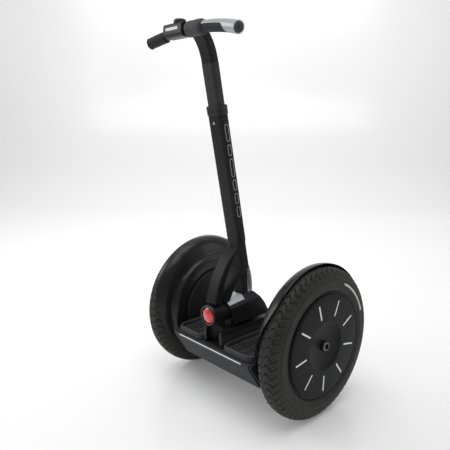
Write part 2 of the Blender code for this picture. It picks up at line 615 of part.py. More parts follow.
STRUT_HALF_W, STRUT_FRONT, STRUT_REAR = 0.013, -0.0720, -0.0440
PANEL_HALF_W, PANEL_T2, PANEL_L = 0.031, 0.0014, 0.084
cover_slope = atan2(COVER_TOP_REAR - COVER_TOP_NOSE, COVER_OUTLINE[3][0] - COVER_NOSE)
strut_way = box("strut_way", (2 * STRUT_HALF_W + 0.002, STRUT_REAR - STRUT_FRONT + 0.002, 0.05),
                (0, (STRUT_REAR + STRUT_FRONT) / 2, PIVOT_Z + BARREL_R + 0.025), None)
combine(cover, strut_way, "DIFFERENCE")
panel_middle = (COVER_NOSE + 0.003 + PANEL_L / 2)
panel = plate("label_panel", [filleted(rectangle(-PANEL_HALF_W, -PANEL_L / 2, PANEL_HALF_W, PANEL_L / 2), 0.010, 4)],
              PANEL_T2, PALE_PANEL, turn=(cover_slope, 0, 0),
              place=(0, panel_middle, COVER_TOP_NOSE + (panel_middle - COVER_NOSE) * tan(cover_slope) + GAP + PANEL_T2 / 2))
panel_way = box("panel_way", (2 * STRUT_HALF_W + 0.002, STRUT_REAR - STRUT_FRONT + 0.002, 0.05),
                (0, (STRUT_REAR + STRUT_FRONT) / 2, PIVOT_Z + BARREL_R + 0.025), None)
combine(panel, panel_way, "DIFFERENCE")

# ---------------------------------------------------------------- lean frame and column

UP = Vector((0, -sin(radians(LEAN_DEG)), cos(radians(LEAN_DEG))))
COLUMN_TURN = Matrix.Rotation(radians(LEAN_DEG), 4, "X")


def column_point(along, ahead=0.0):
    """(y, z) on the column's axis, `along` from the lean axis and `ahead` of it."""
    onward = Vector((0, -cos(radians(LEAN_DEG)), -sin(radians(LEAN_DEG))))
    spot = Vector((0, COLUMN_Y, PIVOT_Z)) + UP * along + onward * ahead
    return (spot.y, spot.z)


def offset_band(line, widths):
    """The closed outline of a band that follows a line of (y, z) points."""
    left, right = [], []
    for i, point in enumerate(line):
        before = Vector(line[max(i - 1, 0)])
        after = Vector(line[min(i + 1, len(line) - 1)])
        way = (after - before).normalized()
        across = Vector((-way.y, way.x)) * widths[i] / 2
        left.append(tuple(Vector(point) + across))
        right.append(tuple(Vector(point) - across))
    return left + right[::-1]


FOOT_Z = PIVOT_Z + BARREL_R + GAP
LEG_HALF_W = 0.0245


def swept_leg(top, foot, bulge, widths, steps=7):
    """A leg that leaves the column forwards and curves down to its foot."""
    (y0, z0), (y2, z2) = top, foot
    y1, z1 = bulge
    line = []
    for i in range(steps + 1):
        t = i / steps
        line.append(((1 - t) ** 2 * y0 + 2 * t * (1 - t) * y1 + t * t * y2,
                     (1 - t) ** 2 * z0 + 2 * t * (1 - t) * z1 + t * t * z2))
    sizes = [widths[0] + (widths[1] - widths[0]) * i / steps for i in range(steps + 1)]
    return offset_band(line, sizes)


CASTING_TOP = TUBE_START - GAP
STUB_B = TUBE_B - 0.0012
stub_low = 0.128
casting = plate("frame_base", [[column_point(CASTING_TOP, STUB_B), column_point(stub_low, STUB_B),
                                column_point(stub_low, -STUB_B), column_point(CASTING_TOP, -STUB_B)]],
                2 * LEG_HALF_W, BLACK_PAINT, turn=SIDE_VIEW)
outer_leg = swept_leg(column_point(0.214, STUB_B - 0.008), (-0.1850, FOOT_Z), (-0.160, 0.462), (0.017, 0.030))
inner_leg = swept_leg(column_point(0.136, STUB_B - 0.006), (-0.1480, FOOT_Z), (-0.118, 0.405), (0.016, 0.022))
strut = offset_band([column_point(stub_low + 0.010, -0.001), ((STRUT_FRONT + STRUT_REAR) / 2 - 0.001, FOOT_Z + 0.035),
                     ((STRUT_FRONT + STRUT_REAR) / 2, FOOT_Z - 0.002)], (0.0245, 0.022, 0.025))
for label, outline in (("outer_leg", outer_leg), ("inner_leg", inner_leg), ("rear_strut", strut)):
    leg = plate(label, [outline], 2 * (STRUT_HALF_W if label == "rear_strut" else LEG_HALF_W), None, turn=SIDE_VIEW)
    combine(casting, leg, "UNION")
below_feet = box("below_feet", (0.2, 0.4, 0.1), (0, -0.1, FOOT_Z - 0.05), None)
combine(casting, below_feet, "DIFFERENCE")
SPIGOT_A, SPIGOT_B = TUBE_A - TUBE_WALL - GAP, TUBE_B - TUBE_WALL - GAP


def column_tube(name, a, b, corner, start, end, finish, wall=0.0, hole=None):
    """A rounded-rectangular tube or bar on the column's axis."""
    loops = [filleted(rectangle(-a, -b, a, b), corner, 4)]
    if wall:
        loops.append(filleted(rectangle(wall - a, wall - b, a - wall, b - wall), corner - wall, 4))
    if hole:
        loops.append(filleted(rectangle(-hole[0], -hole[1], hole[0], hole[1]), hole[2], 4))
    piece = plate(name, loops, end - start, finish)
    middle = Vector((0, COLUMN_Y, PIVOT_Z)) + UP * (start + end) / 2
    piece.matrix_world = Matrix.Translation(middle) @ COLUMN_TURN
    return piece


spigot = column_tube("spigot", SPIGOT_A, SPIGOT_B, TUBE_CORNER - TUBE_WALL, CASTING_TOP - 0.03, TUBE_START + 0.045, None)
combine(casting, spigot, "UNION")
column_tube("lower_tube", TUBE_A, TUBE_B, TUBE_CORNER, TUBE_START, TUBE_END, BLACK_PAINT, wall=TUBE_WALL)
column_tube("height_collar", TUBE_A + 0.0022, TUBE_B + 0.0022, TUBE_CORNER + 0.0022, TUBE_END + GAP,
            TUBE_END + COLLAR_L, BLACK_PLASTIC, hole=(STEM_A + RUN, STEM_B + RUN, STEM_CORNER + RUN))
bolt_y, bolt_z = column_point(TUBE_END - 0.022, TUBE_B + GAP)
bolt = turned("clamp_bolt", [(0, 0.0028), (0.0032, 0.0028), (0.0042, 0.0018), (0.0042, 0), (0, 0)], STEEL,
              (0, bolt_y, bolt_z), steps=24, ring=False)
bolt.matrix_world = Matrix.Translation((0, bolt_y, bolt_z)) @ COLUMN_TURN @ Matrix.Rotation(pi / 2, 4, "X")

column_tube("sliding_stem", STEM_A, STEM_B, STEM_CORNER, STEM_START, STEM_END, BLACK_PAINT, wall=0.0022)

# ---------------------------------------------------------------- handlebar

bend = [column_point(STEM_END + GAP), column_point(STEM_END + 0.028), column_point(STEM_END + 0.060, 0.010),
        (BAR_Y + 0.012, BAR_Z - 0.004)]
head = plate("stem_head", [offset_band(bend, (0.0240, 0.0245, 0.0260, 0.0320))], 2 * (STEM_A - 0.0005), BLACK_PAINT,
             turn=SIDE_VIEW)
clamp = turned("clamp_ring", [(0, STEM_A), (0.0225, STEM_A), (0.0225, -STEM_A), (0, -STEM_A)], None,
               (0, BAR_Y, BAR_Z), (0, pi / 2, 0), steps=32, ring=False)
combine(head, clamp, "UNION")


def bar_path(x0, x1, count):
    """Points along the swept and drooped bar."""
    points = []
    for i in range(count + 1):
        x = x0 + (x1 - x0) * i / count
        share = (x / GRIP_HALF) ** 2
        points.append((x, BAR_Y - BAR_SWEEP * share, BAR_Z - BAR_DROP * share))
    return points


bar = rod("handlebar", bar_path(-BAR_HALF, BAR_HALF, 16), BAR_R, BLACK_PAINT, sides=3)
BAR_BORE = BAR_R - 0.0025
combine(bar, rod("bar_bore", bar_path(-BAR_HALF * 1.03, BAR_HALF * 1.03, 16), BAR_BORE, None, sides=3), "DIFFERENCE")
combine(head, rod("bar_way", bar_path(-0.06, 0.06, 8), BAR_R + GAP, None, sides=3), "DIFFERENCE")


def sleeve(name, x0, x1, r_out, r_in, finish, count=6):
    """A sleeve on the bar."""
    body = rod(name, bar_path(x0, x1, count), r_out, finish, sides=6)
    step = (x1 - x0) * 0.02
    hole = rod(name + "_hole", bar_path(x0 - step, x1 + step, count), r_in, None, sides=3)
    combine(body, hole, "DIFFERENCE")
    return body


CUT_TILT = radians(15)
for side, tag in ((1, "left"), (-1, "right")):
    ends = sorted((side * GRIP_IN[side], side * GRIP_HALF))
    grip = sleeve(tag + "_grip", *ends, GRIP_R, BAR_R + GAP, GRIP_RUBBER)
    shell = sleeve(tag + "_grip_shell", *ends, GRIP_R, BAR_R + GAP, SILVER if side > 0 else GREY_PLASTIC)
    middle_x = side * (GRIP_IN[side] + GRIP_HALF) / 2
    share = (middle_x / GRIP_HALF) ** 2
    centre = Vector((middle_x, BAR_Y - BAR_SWEEP * share, BAR_Z - BAR_DROP * share))
    tilt = Matrix.Rotation(side * CUT_TILT, 4, "Y")
    for piece, shift, label in ((grip, 0.05 - GAP / 2, "above"), (shell, -0.05 + GAP / 2, "below")):
        knife = box(tag + "_" + label, (0.3, 0.1, 0.1), (0, 0, 0), None)
        knife.matrix_world = Matrix.Translation(centre) @ tilt @ Matrix.Translation((0, 0, shift))
        combine(piece, knife, "DIFFERENCE")

DOCK_X0, DOCK_X1 = -0.118, -0.030
DOCK_MIDDLE = ((DOCK_X0 + DOCK_X1) / 2, BAR_Y - 0.004, BAR_Z + 0.001)
DOCK_SIZE = (DOCK_X1 - DOCK_X0, 0.044, 0.040)
dock = box("controller_dock", DOCK_SIZE, DOCK_MIDDLE, BLACK_PLASTIC)
combine(dock, rod("dock_way", bar_path(DOCK_X0 - 0.01, DOCK_X1 + 0.01, 6), BAR_R + GAP, None, sides=3), "DIFFERENCE")
round_edges(dock, 0.004)

KEY_R, KEY_T, BUTTON_R = 0.0185, 0.011, 0.0050
KEY_SPOT = (DOCK_MIDDLE[0] + 0.010, DOCK_MIDDLE[1], DOCK_MIDDLE[2] + DOCK_SIZE[2] / 2 + GAP)
turned("key_controller", [(0, KEY_T - 0.005), (BUTTON_R + RUN, KEY_T - 0.005), (BUTTON_R + RUN, KEY_T),
                          (KEY_R - 0.003, KEY_T), (KEY_R, KEY_T - 0.004), (KEY_R, 0), (0, 0)],
       GREY_PLASTIC, KEY_SPOT, steps=32, ring=False)
turned("key_button", [(0, KEY_T + 0.0010), (BUTTON_R - 0.001, KEY_T + 0.0010), (BUTTON_R, KEY_T), (BUTTON_R, KEY_T - 0.0035),
                      (0, KEY_T - 0.0035)], RED_LENS, KEY_SPOT, steps=24, ring=False)

# ---------------------------------------------------------------- parking stand

def bent(corners, radius, steps=4):
    """A wire's path: straight runs joined by bends."""
    out = [Vector(corners[0])]
    for before, corner, after in zip(corners, corners[1:], corners[2:]):
        spot = Vector(corner)
        back, ahead = (Vector(before) - spot).normalized(), (Vector(after) - spot).normalized()
        half = back.angle(ahead) / 2
        centre = spot + (back + ahead).normalized() * (radius / sin(half))
        first = (spot + back * (radius / tan(half)) - centre).normalized()
        last = (spot + ahead * (radius / tan(half)) - centre).normalized()
        for k in range(steps + 1):
            out.append(centre + first.slerp(last, k / steps) * radius)
    return out + [Vector(corners[-1])]


FOOT_R = STAND_R * cos(pi / 8)          # middle of the foot when its flat is on the floor
foot_y, leg_x, end_x = STAND_Y - STAND_AHEAD, STAND_X + STAND_HALF, STAND_X - STAND_HALF
rod("parking_stand", bent([(end_x, STAND_Y, STAND_Z), (leg_x, STAND_Y, STAND_Z), (leg_x, foot_y, FOOT_R),
                           (end_x, foot_y, FOOT_R)], 0.010), STAND_R, STEEL, sides=2)
EAR_W, EAR_L = 0.020, 0.024
bracket_h = DECK_BOTTOM - STAND_Z + STAND_R + 0.003
bracket = box("stand_bracket", (EAR_W, EAR_L, bracket_h), (end_x + EAR_W / 2 - 0.001, STAND_Y, DECK_BOTTOM - bracket_h / 2 - GAP),
              BLACK_PAINT)
pin_way = turned("pin_way", [(0, 0.04), (STAND_R + RUN, 0.04), (STAND_R + RUN, -0.04), (0, -0.04)], None,
                 (STAND_X, STAND_Y, STAND_Z), (0, pi / 2, 0), steps=24, ring=False)
combine(bracket, pin_way, "DIFFERENCE")

# ---------------------------------------------------------------- origin under the middle of the whole

for piece in (*parts.objects, *cutters.objects):
    piece.location.y += AXLE_BEHIND
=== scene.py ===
"""Looks of a two-wheel balancing transporter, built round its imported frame."""

from math import atan2, cos, pi, radians, sin, tan

import bmesh
import bpy
import numpy as np
from mathutils import Matrix, Vector


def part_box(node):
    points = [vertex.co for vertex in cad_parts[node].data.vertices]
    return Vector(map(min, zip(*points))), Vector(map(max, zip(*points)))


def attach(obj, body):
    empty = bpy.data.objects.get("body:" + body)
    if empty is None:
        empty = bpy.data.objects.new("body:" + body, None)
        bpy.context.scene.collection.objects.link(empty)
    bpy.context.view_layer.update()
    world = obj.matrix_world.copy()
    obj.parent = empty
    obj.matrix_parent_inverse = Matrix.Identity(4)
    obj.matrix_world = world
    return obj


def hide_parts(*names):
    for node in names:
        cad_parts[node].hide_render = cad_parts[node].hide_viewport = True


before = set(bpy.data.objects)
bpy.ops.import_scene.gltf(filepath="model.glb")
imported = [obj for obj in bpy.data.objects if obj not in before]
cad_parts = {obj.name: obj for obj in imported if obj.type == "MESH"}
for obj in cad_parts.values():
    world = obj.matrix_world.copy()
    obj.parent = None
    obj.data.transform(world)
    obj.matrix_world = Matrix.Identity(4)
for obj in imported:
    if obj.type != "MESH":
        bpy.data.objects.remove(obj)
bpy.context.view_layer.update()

# ---------------------------------------------------------------- camera, light and floor
# The camera stands ahead and to the rider's left, 0.9 m above the floor, and looks slightly down. Big
# soft lamps light a pale glossy floor that runs up into a pale wall behind the machine.

VIEW_TURN = 0.8225              # the camera and the wall are turned this far round Z, in radians
VIEW_DIP = 0.2028               # the camera looks down by this much

scene = bpy.context.scene
axle_low, axle_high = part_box("left_tyre")
AXLE_Y = (axle_low[1] + axle_high[1]) / 2
AXLE_Z = (axle_low[2] + axle_high[2]) / 2
camera = bpy.data.objects.new("camera", bpy.data.cameras.new("camera"))
scene.collection.objects.link(camera)
camera.location = (1.1332, -1.1865 + AXLE_Y, 0.911)
camera.rotation_euler = (pi / 2 - VIEW_DIP, 0, VIEW_TURN)
camera.data.lens = 39.67
camera.data.sensor_width = 36
scene.camera = camera
scene.view_settings.view_transform = "Standard"

world = bpy.data.worlds.new("studio")
scene.world = world
world.use_nodes = True
world.node_tree.nodes["Background"].inputs["Color"].default_value = (1.0, 1.0, 1.0, 1)
world.node_tree.nodes["Background"].inputs["Strength"].default_value = 0.30


def lamp(name, place, size, power, target=(0, 0, 0.45)):
    """A soft rectangular lamp that points at its target."""
    light = bpy.data.lights.new(name, "AREA")
    light.shape = "RECTANGLE"
    light.size, light.size_y = size
    light.energy = power
    holder = bpy.data.objects.new(name, light)
    scene.collection.objects.link(holder)
    holder.location = place
    holder.rotation_euler = (Vector(target) - Vector(place)).to_track_quat("-Z", "Y").to_euler()


lamp("top_soft", (0.3, -0.6, 3.2), (2.6, 2.6), 54)
lamp("right_front", (-2.3, -1.9, 1.9), (1.4, 2.0), 30)
lamp("left_side", (2.2, 2.2, 1.5), (1.0, 2.0), 9)
lamp("wall_wash", (-1.2, 1.1, 3.4), (5.6, 1.6), 70, (-3.6, 3.4, 0.9))

WALL_FROM, WALL_BEND, WALL_TOP, FLOOR_BACK, FLOOR_HALF = 3.2, 1.5, 7.0, -9.0, 14
floor_mesh = bpy.data.meshes.new("studio_floor")
bend = [(FLOOR_BACK, 0.0), (WALL_FROM, 0.0)]
bend += [(WALL_FROM + WALL_BEND * sin(a * pi / 24), WALL_BEND - WALL_BEND * cos(a * pi / 24)) for a in range(1, 13)]
bend += [(WALL_FROM + WALL_BEND, WALL_TOP)]
floor_mesh.from_pydata([(x, y, z) for y, z in bend for x in (-FLOOR_HALF, FLOOR_HALF)], [],
                       [(2 * i, 2 * i + 1, 2 * i + 3, 2 * i + 2) for i in range(len(bend) - 1)])
floor_mesh.shade_smooth()
studio_floor = bpy.data.objects.new("studio_floor", floor_mesh)
scene.collection.objects.link(studio_floor)
studio_floor.rotation_euler = (0, 0, VIEW_TURN)
floor_paint = bpy.data.materials.new("studio_floor")
floor_paint.use_nodes = True
floor_shader = floor_paint.node_tree.nodes["Principled BSDF"]
floor_shader.inputs["Base Color"].default_value = (0.90, 0.90, 0.90, 1)
floor_shader.inputs["Roughness"].default_value = 0.22
floor_shader.inputs["Emission Color"].default_value = (1.0, 1.0, 1.0, 1)
floor_shader.inputs["Emission Strength"].default_value = 0.12
floor_mesh.materials.append(floor_paint)

# ---------------------------------------------------------------- tyres
# Rubber, one each side, with hooked grooves across the shoulders, rings moulded on the side walls
# and a thin pale arc on the outer wall. Painted shade darkens the grooves. They turn with their wheels.


def finish(name, colour, roughness, metallic=0.0, grain=600.0, bump=0.05, patch=9.0, vary=0.25, worn=0.0,
           rough_vary=0.10, coat=0.0, stretch=(1, 1, 1), gloss=0.22):
    """A material with fine grain, slow changes of tone and shine, and lighter worn edges."""
    made = bpy.data.materials.new(name)
    made.use_nodes = True
    nodes, links = made.node_tree.nodes, made.node_tree.links
    shader = nodes["Principled BSDF"]
    shader.inputs["Metallic"].default_value = metallic
    shader.inputs["Specular IOR Level"].default_value = gloss
    shader.inputs["Coat Weight"].default_value = coat
    shader.inputs["Coat Roughness"].default_value = 0.12
    place = nodes.new("ShaderNodeTexCoord")
    mapping = nodes.new("ShaderNodeMapping")
    mapping.inputs["Scale"].default_value = stretch
    links.new(place.outputs["Object"], mapping.inputs["Vector"])

    fine = nodes.new("ShaderNodeTexNoise")
    fine.inputs["Scale"].default_value = grain
    fine.inputs["Detail"].default_value = 3.0
    links.new(mapping.outputs["Vector"], fine.inputs["Vector"])
    slow = nodes.new("ShaderNodeTexNoise")
    slow.inputs["Scale"].default_value = patch
    slow.inputs["Detail"].default_value = 5.0
    slow.inputs["Roughness"].default_value = 0.6
    links.new(mapping.outputs["Vector"], slow.inputs["Vector"])

    tone = nodes.new("ShaderNodeValToRGB")
    dark = tuple(c * (1 - vary) for c in colour)
    light = tuple(min(1.0, c * (1 + vary)) for c in colour)
    tone.color_ramp.elements[0].position = 0.32
    tone.color_ramp.elements[0].color = (*dark, 1)
    tone.color_ramp.elements[1].position = 0.68
    tone.color_ramp.elements[1].color = (*light, 1)
    links.new(slow.outputs["Fac"], tone.inputs["Fac"])
    colour_out = tone.outputs["Color"]
    if worn:
        shape = nodes.new("ShaderNodeNewGeometry")
        edge = nodes.new("ShaderNodeMapRange")
        edge.inputs["From Min"].default_value = 0.53
        edge.inputs["From Max"].default_value = 0.60
        edge.inputs["To Max"].default_value = worn
        links.new(shape.outputs["Pointiness"], edge.inputs["Value"])
        mix = nodes.new("ShaderNodeMix")
        mix.data_type = "RGBA"
        mix.inputs["B"].default_value = (*[min(1.0, c * 2.2 + 0.05) for c in colour], 1)
        links.new(edge.outputs["Result"], mix.inputs["Factor"])
        links.new(colour_out, mix.inputs["A"])
        colour_out = mix.outputs["Result"]
    links.new(colour_out, shader.inputs["Base Color"])

    shine = nodes.new("ShaderNodeMapRange")
    shine.inputs["From Min"].default_value = 0.3
    shine.inputs["From Max"].default_value = 0.7
    shine.inputs["To Min"].default_value = max(0.03, roughness - rough_vary / 2)
    shine.inputs["To Max"].default_value = roughness + rough_vary / 2
    links.new(slow.outputs["Fac"], shine.inputs["Value"])
    links.new(shine.outputs["Result"], shader.inputs["Roughness"])

    relief = nodes.new("ShaderNodeBump")
    relief.inputs["Strength"].default_value = bump
    relief.inputs["Distance"].default_value = 0.001
    links.new(fine.outputs["Fac"], relief.inputs["Height"])
    links.new(relief.outputs["Normal"], shader.inputs["Normal"])
    return made


def piece_of(name, mesh, material, body, slot, *nodes, smooth=35):
    """Adds a piece, rides it on its body and hides the nodes it stands for."""
    piece = bpy.data.objects.new(name, mesh)
    scene.collection.objects.link(piece)
    mesh.materials.clear()
    mesh.materials.append(material)
    if smooth:
        mesh.shade_smooth()
        mesh.set_sharp_from_angle(angle=radians(smooth))
    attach(piece, body)
    if nodes:
        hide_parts(*nodes)
    return piece


def lathe(pairs, steps, place, closed=True, start=0.0, sweep=2 * pi):
    """A mesh swept round local Z from (radius, height) pairs, then put in place by a matrix."""
    whole = sweep > 6.28
    rings = steps if whole else steps + 1
    verts, faces = [], []
    for i in range(rings):
        a = start + sweep * i / steps
        verts += [(r * cos(a), r * sin(a), h) for r, h in pairs]
    count = len(pairs)
    spans = count if closed else count - 1
    for i in range(steps):
        for j in range(spans):
            a, b = i * count, ((i + 1) % rings) * count
            faces.append((a + j, b + j, b + (j + 1) % count, a + (j + 1) % count))
    if not whole and closed:
        faces += [tuple(range(count)), tuple(range((rings - 1) * count, rings * count))]
    mesh = bpy.data.meshes.new("lathe")
    mesh.from_pydata(verts, [], faces)
    tidy(mesh, place)
    return mesh


def tidy(mesh, place=Matrix.Identity(4)):
    """Puts a mesh in place, closes its poles and faces it outwards."""
    bm = bmesh.new()
    bm.from_mesh(mesh)
    bmesh.ops.remove_doubles(bm, verts=bm.verts, dist=0.000002)
    bmesh.ops.transform(bm, matrix=place, verts=bm.verts)
    bmesh.ops.recalc_face_normals(bm, faces=bm.faces)
    bm.to_mesh(mesh)
    bm.free()


def built(bm, name):
    """Turns a bmesh into a mesh."""
    mesh = bpy.data.meshes.new(name)
    bm.to_mesh(mesh)
    bm.free()
    return mesh


def softened(piece, width, segments=3, angle=35):
    """Rounds a piece's edges."""
    bevel = piece.modifiers.new("rounding", "BEVEL")
    bevel.width = width
    bevel.segments = segments
    bevel.limit_method = "ANGLE"
    bevel.angle_limit = radians(angle)
    bevel.harden_normals = True
    return piece


SIDES = ((1, "left"), (-1, "right"))


def on_axle(side):
    """Local Z out along the axle on this side."""
    return Matrix.Translation((0, AXLE_Y, AXLE_Z)) @ Matrix.Rotation(side * pi / 2, 4, "Y")


# Half of the tyre's section from the crown to the bead: (radius, distance from the middle of the tread).
TYRE_WALL = [(0.2415, 0.0), (0.2413, 0.0060), (0.2405, 0.0120), (0.2391, 0.0172), (0.2368, 0.0216), (0.2335, 0.0256),
             (0.2290, 0.0291), (0.2236, 0.0320), (0.2180, 0.0341), (0.2120, 0.0357), (0.2090, 0.0363), (0.2082, 0.0353),
             (0.2062, 0.0355), (0.2054, 0.0370), (0.2000, 0.0377), (0.1940, 0.0379), (0.1880, 0.0375), (0.1872, 0.0364),
             (0.1854, 0.0362), (0.1846, 0.0371), (0.1800, 0.0360), (0.1760, 0.0342), (0.1725, 0.0318), (0.1705, 0.0300),
             (0.1690, 0.0296)]
TYRE_R = TYRE_WALL[0][0]
TREAD_STEPS = 900
GROOVES = 58                    # hooks round each shoulder
GROOVE_DEEP = 0.0036
LINE_HALF, LINE_DEEP = 0.0016, 0.0008       # the shallow line round the crown
# Rows of grooves: start and stop across the tread, lean, hook, width, depth, shift as a share of a pitch.
GROOVE_ROWS = ((0.0025, 0.0260, 3.6, 40.0, 0.0042, GROOVE_DEEP, 0.0), (0.0200, 0.0350, -1.8, 0.0, 0.0040, 0.0032, 0.5))


def refine(line, longest):
    """The same line with steps no longer than this."""
    out = [line[0]]
    for (r0, w0), (r1, w1) in zip(line, line[1:]):
        parts = max(1, int(np.hypot(r1 - r0, w1 - w0) / longest + 0.999))
        out += [(r0 + (r1 - r0) * k / parts, w0 + (w1 - w0) * k / parts) for k in range(1, parts + 1)]
    return out


def groove_depth(angle, w):
    """How deep the tread is cut at an angle and a width: hooked sipes, staggered on the two shoulders."""
    depth = np.zeros_like(angle)
    pitch = 2 * pi / GROOVES
    for way in (1, -1):
        across = way * w
        for start, stop, lean, hook, width, deep, shift in GROOVE_ROWS:
            reach = np.clip((across - start) / (stop - start), 0, 1)
            curve = lean * across * 2 + hook * 0.030 * (1 - reach) ** 3 * 0.12
            offset = (angle - curve - shift * pitch - (0.25 * pitch if way < 0 else 0)) % pitch
            offset = np.minimum(offset, pitch - offset) * TYRE_R
            inside = np.clip((width / 2 + 0.0007 - offset) / 0.0014, 0, 1)
            ends = np.clip((across - start) / 0.002, 0, 1) * np.clip((stop - across) / 0.002, 0, 1)
            depth = np.maximum(depth, deep * inside * ends)
    depth = np.maximum(depth, LINE_DEEP * np.clip(1 - np.abs(w) / LINE_HALF, 0, 1))
    return depth


tyre_rubber = finish("tyre_rubber", (0.024, 0.0225, 0.0215), 0.58, grain=900, bump=0.25, patch=14, vary=0.22, worn=0.8,
                     gloss=0.30)
tyre_nodes, tyre_links = tyre_rubber.node_tree.nodes, tyre_rubber.node_tree.links
tyre_colour = tyre_nodes["Principled BSDF"].inputs["Base Color"]
# Painted shade in the grooves: the rubber's colour is mixed towards near black by how deep each point is cut.
groove_shade_mask = tyre_nodes.new("ShaderNodeAttribute")
groove_shade_mask.attribute_name = "cut"
groove_painted_shade = tyre_nodes.new("ShaderNodeMix")
groove_painted_shade.data_type = "RGBA"
groove_painted_shade.inputs["B"].default_value = (0.0025, 0.0025, 0.0025, 1)
tyre_links.new(groove_shade_mask.outputs["Fac"], groove_painted_shade.inputs["Factor"])
tyre_links.new(tyre_colour.links[0].from_socket, groove_painted_shade.inputs["A"])
tyre_links.new(groove_painted_shade.outputs["Result"], tyre_colour)
half_wall = refine(TYRE_WALL, 0.0016)
full_wall = [(r, -w) for r, w in reversed(half_wall)] + half_wall[1:]
for side, tag in SIDES:
    radius, width = np.array(full_wall).T
    angles = np.linspace(0, 2 * pi, TREAD_STEPS, endpoint=False)
    turn, across = np.meshgrid(angles, width, indexing="ij")
    cut_depth = groove_depth(turn, across)
    skin_r = radius[None, :] - cut_depth
    middle = abs(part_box(tag + "_tyre")[0][0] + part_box(tag + "_tyre")[1][0]) / 2
    points = np.stack([skin_r * np.cos(turn), skin_r * np.sin(turn), across + middle], axis=-1).reshape(-1, 3)
    n = len(full_wall)
    i, j = np.meshgrid(np.arange(TREAD_STEPS), np.arange(n - 1), indexing="ij")
    after = (i + 1) % TREAD_STEPS
    quads = np.stack([i * n + j, after * n + j, after * n + j + 1, i * n + j + 1], axis=-1).reshape(-1, 4)
    mesh = bpy.data.meshes.new(tag + "_tyre_tread")
    mesh.from_pydata(points.tolist(), [], quads.tolist())
    # Each point's share of the full groove depth, which sets the painted shade in the grooves.
    mesh.attributes.new("cut", "FLOAT", "POINT").data.foreach_set("value", (cut_depth / GROOVE_DEEP).ravel())
    tidy(mesh, on_axle(side))
    piece_of(tag + "_tyre_tread", mesh, tyre_rubber, tag + "_wheel", "tyre_rubber", tag + "_tyre", smooth=60)

arc_paint = finish("reflective_arc", (0.62, 0.62, 0.61), 0.45, grain=1500, bump=0.05, vary=0.06)
for side, tag in SIDES:
    face = abs(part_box(tag + "_tyre")[1 if side > 0 else 0][0])
    pairs = [(0.2030, face - 0.0010), (0.2030, face - 0.0004), (0.1965, face - 0.0001), (0.1965, face - 0.0010)]
    arc = lathe(pairs, 40, on_axle(side), start=radians(110) if side > 0 else radians(-154), sweep=radians(44))
    piece_of(tag + "_tyre_arc", arc, arc_paint, tag + "_wheel", "tyre_rubber")

# ---------------------------------------------------------------- wheels
# Moulded rims with a bolted hub cap: a satin dark disc with nine thin silver bars, a shallow dish and a
# dark steel nut with a hexagonal socket.

rim_plastic = finish("rim_plastic", (0.030, 0.030, 0.032), 0.42, grain=500, bump=0.10, vary=0.15, worn=0.3)
cap_plastic = finish("cap_plastic", (0.0105, 0.0107, 0.0115), 0.46, gloss=0.10, grain=700, bump=0.05, patch=6,
                     vary=0.12, rough_vary=0.06, coat=0.03)
silver = finish("silver_trim", (0.62, 0.63, 0.65), 0.26, metallic=0.9, grain=900, bump=0.03, vary=0.06)
bright_steel = finish("bright_steel", (0.58, 0.58, 0.60), 0.20, metallic=1.0, grain=1200, bump=0.04, vary=0.08)
dull_steel = finish("dull_steel", (0.36, 0.36, 0.37), 0.38, metallic=1.0, grain=400, bump=0.10, vary=0.15,
                    stretch=(1, 1, 6))
nut_steel = finish("nut_steel", (0.16, 0.16, 0.165), 0.30, metallic=1.0, grain=900, bump=0.06, vary=0.10)
# Near black: the dark seam round the collar, and painted shade on the floor of each nut's socket.
seam_and_socket_shade = finish("seam_and_socket_shade_paint", (0.006, 0.006, 0.007), 0.6, grain=500, bump=0.1)
BARS = 9
BARS_AT = 0.121                 # middle of a silver bar from the axle
BAR_SIZE = (0.050, 0.0056, 0.0030, 1)
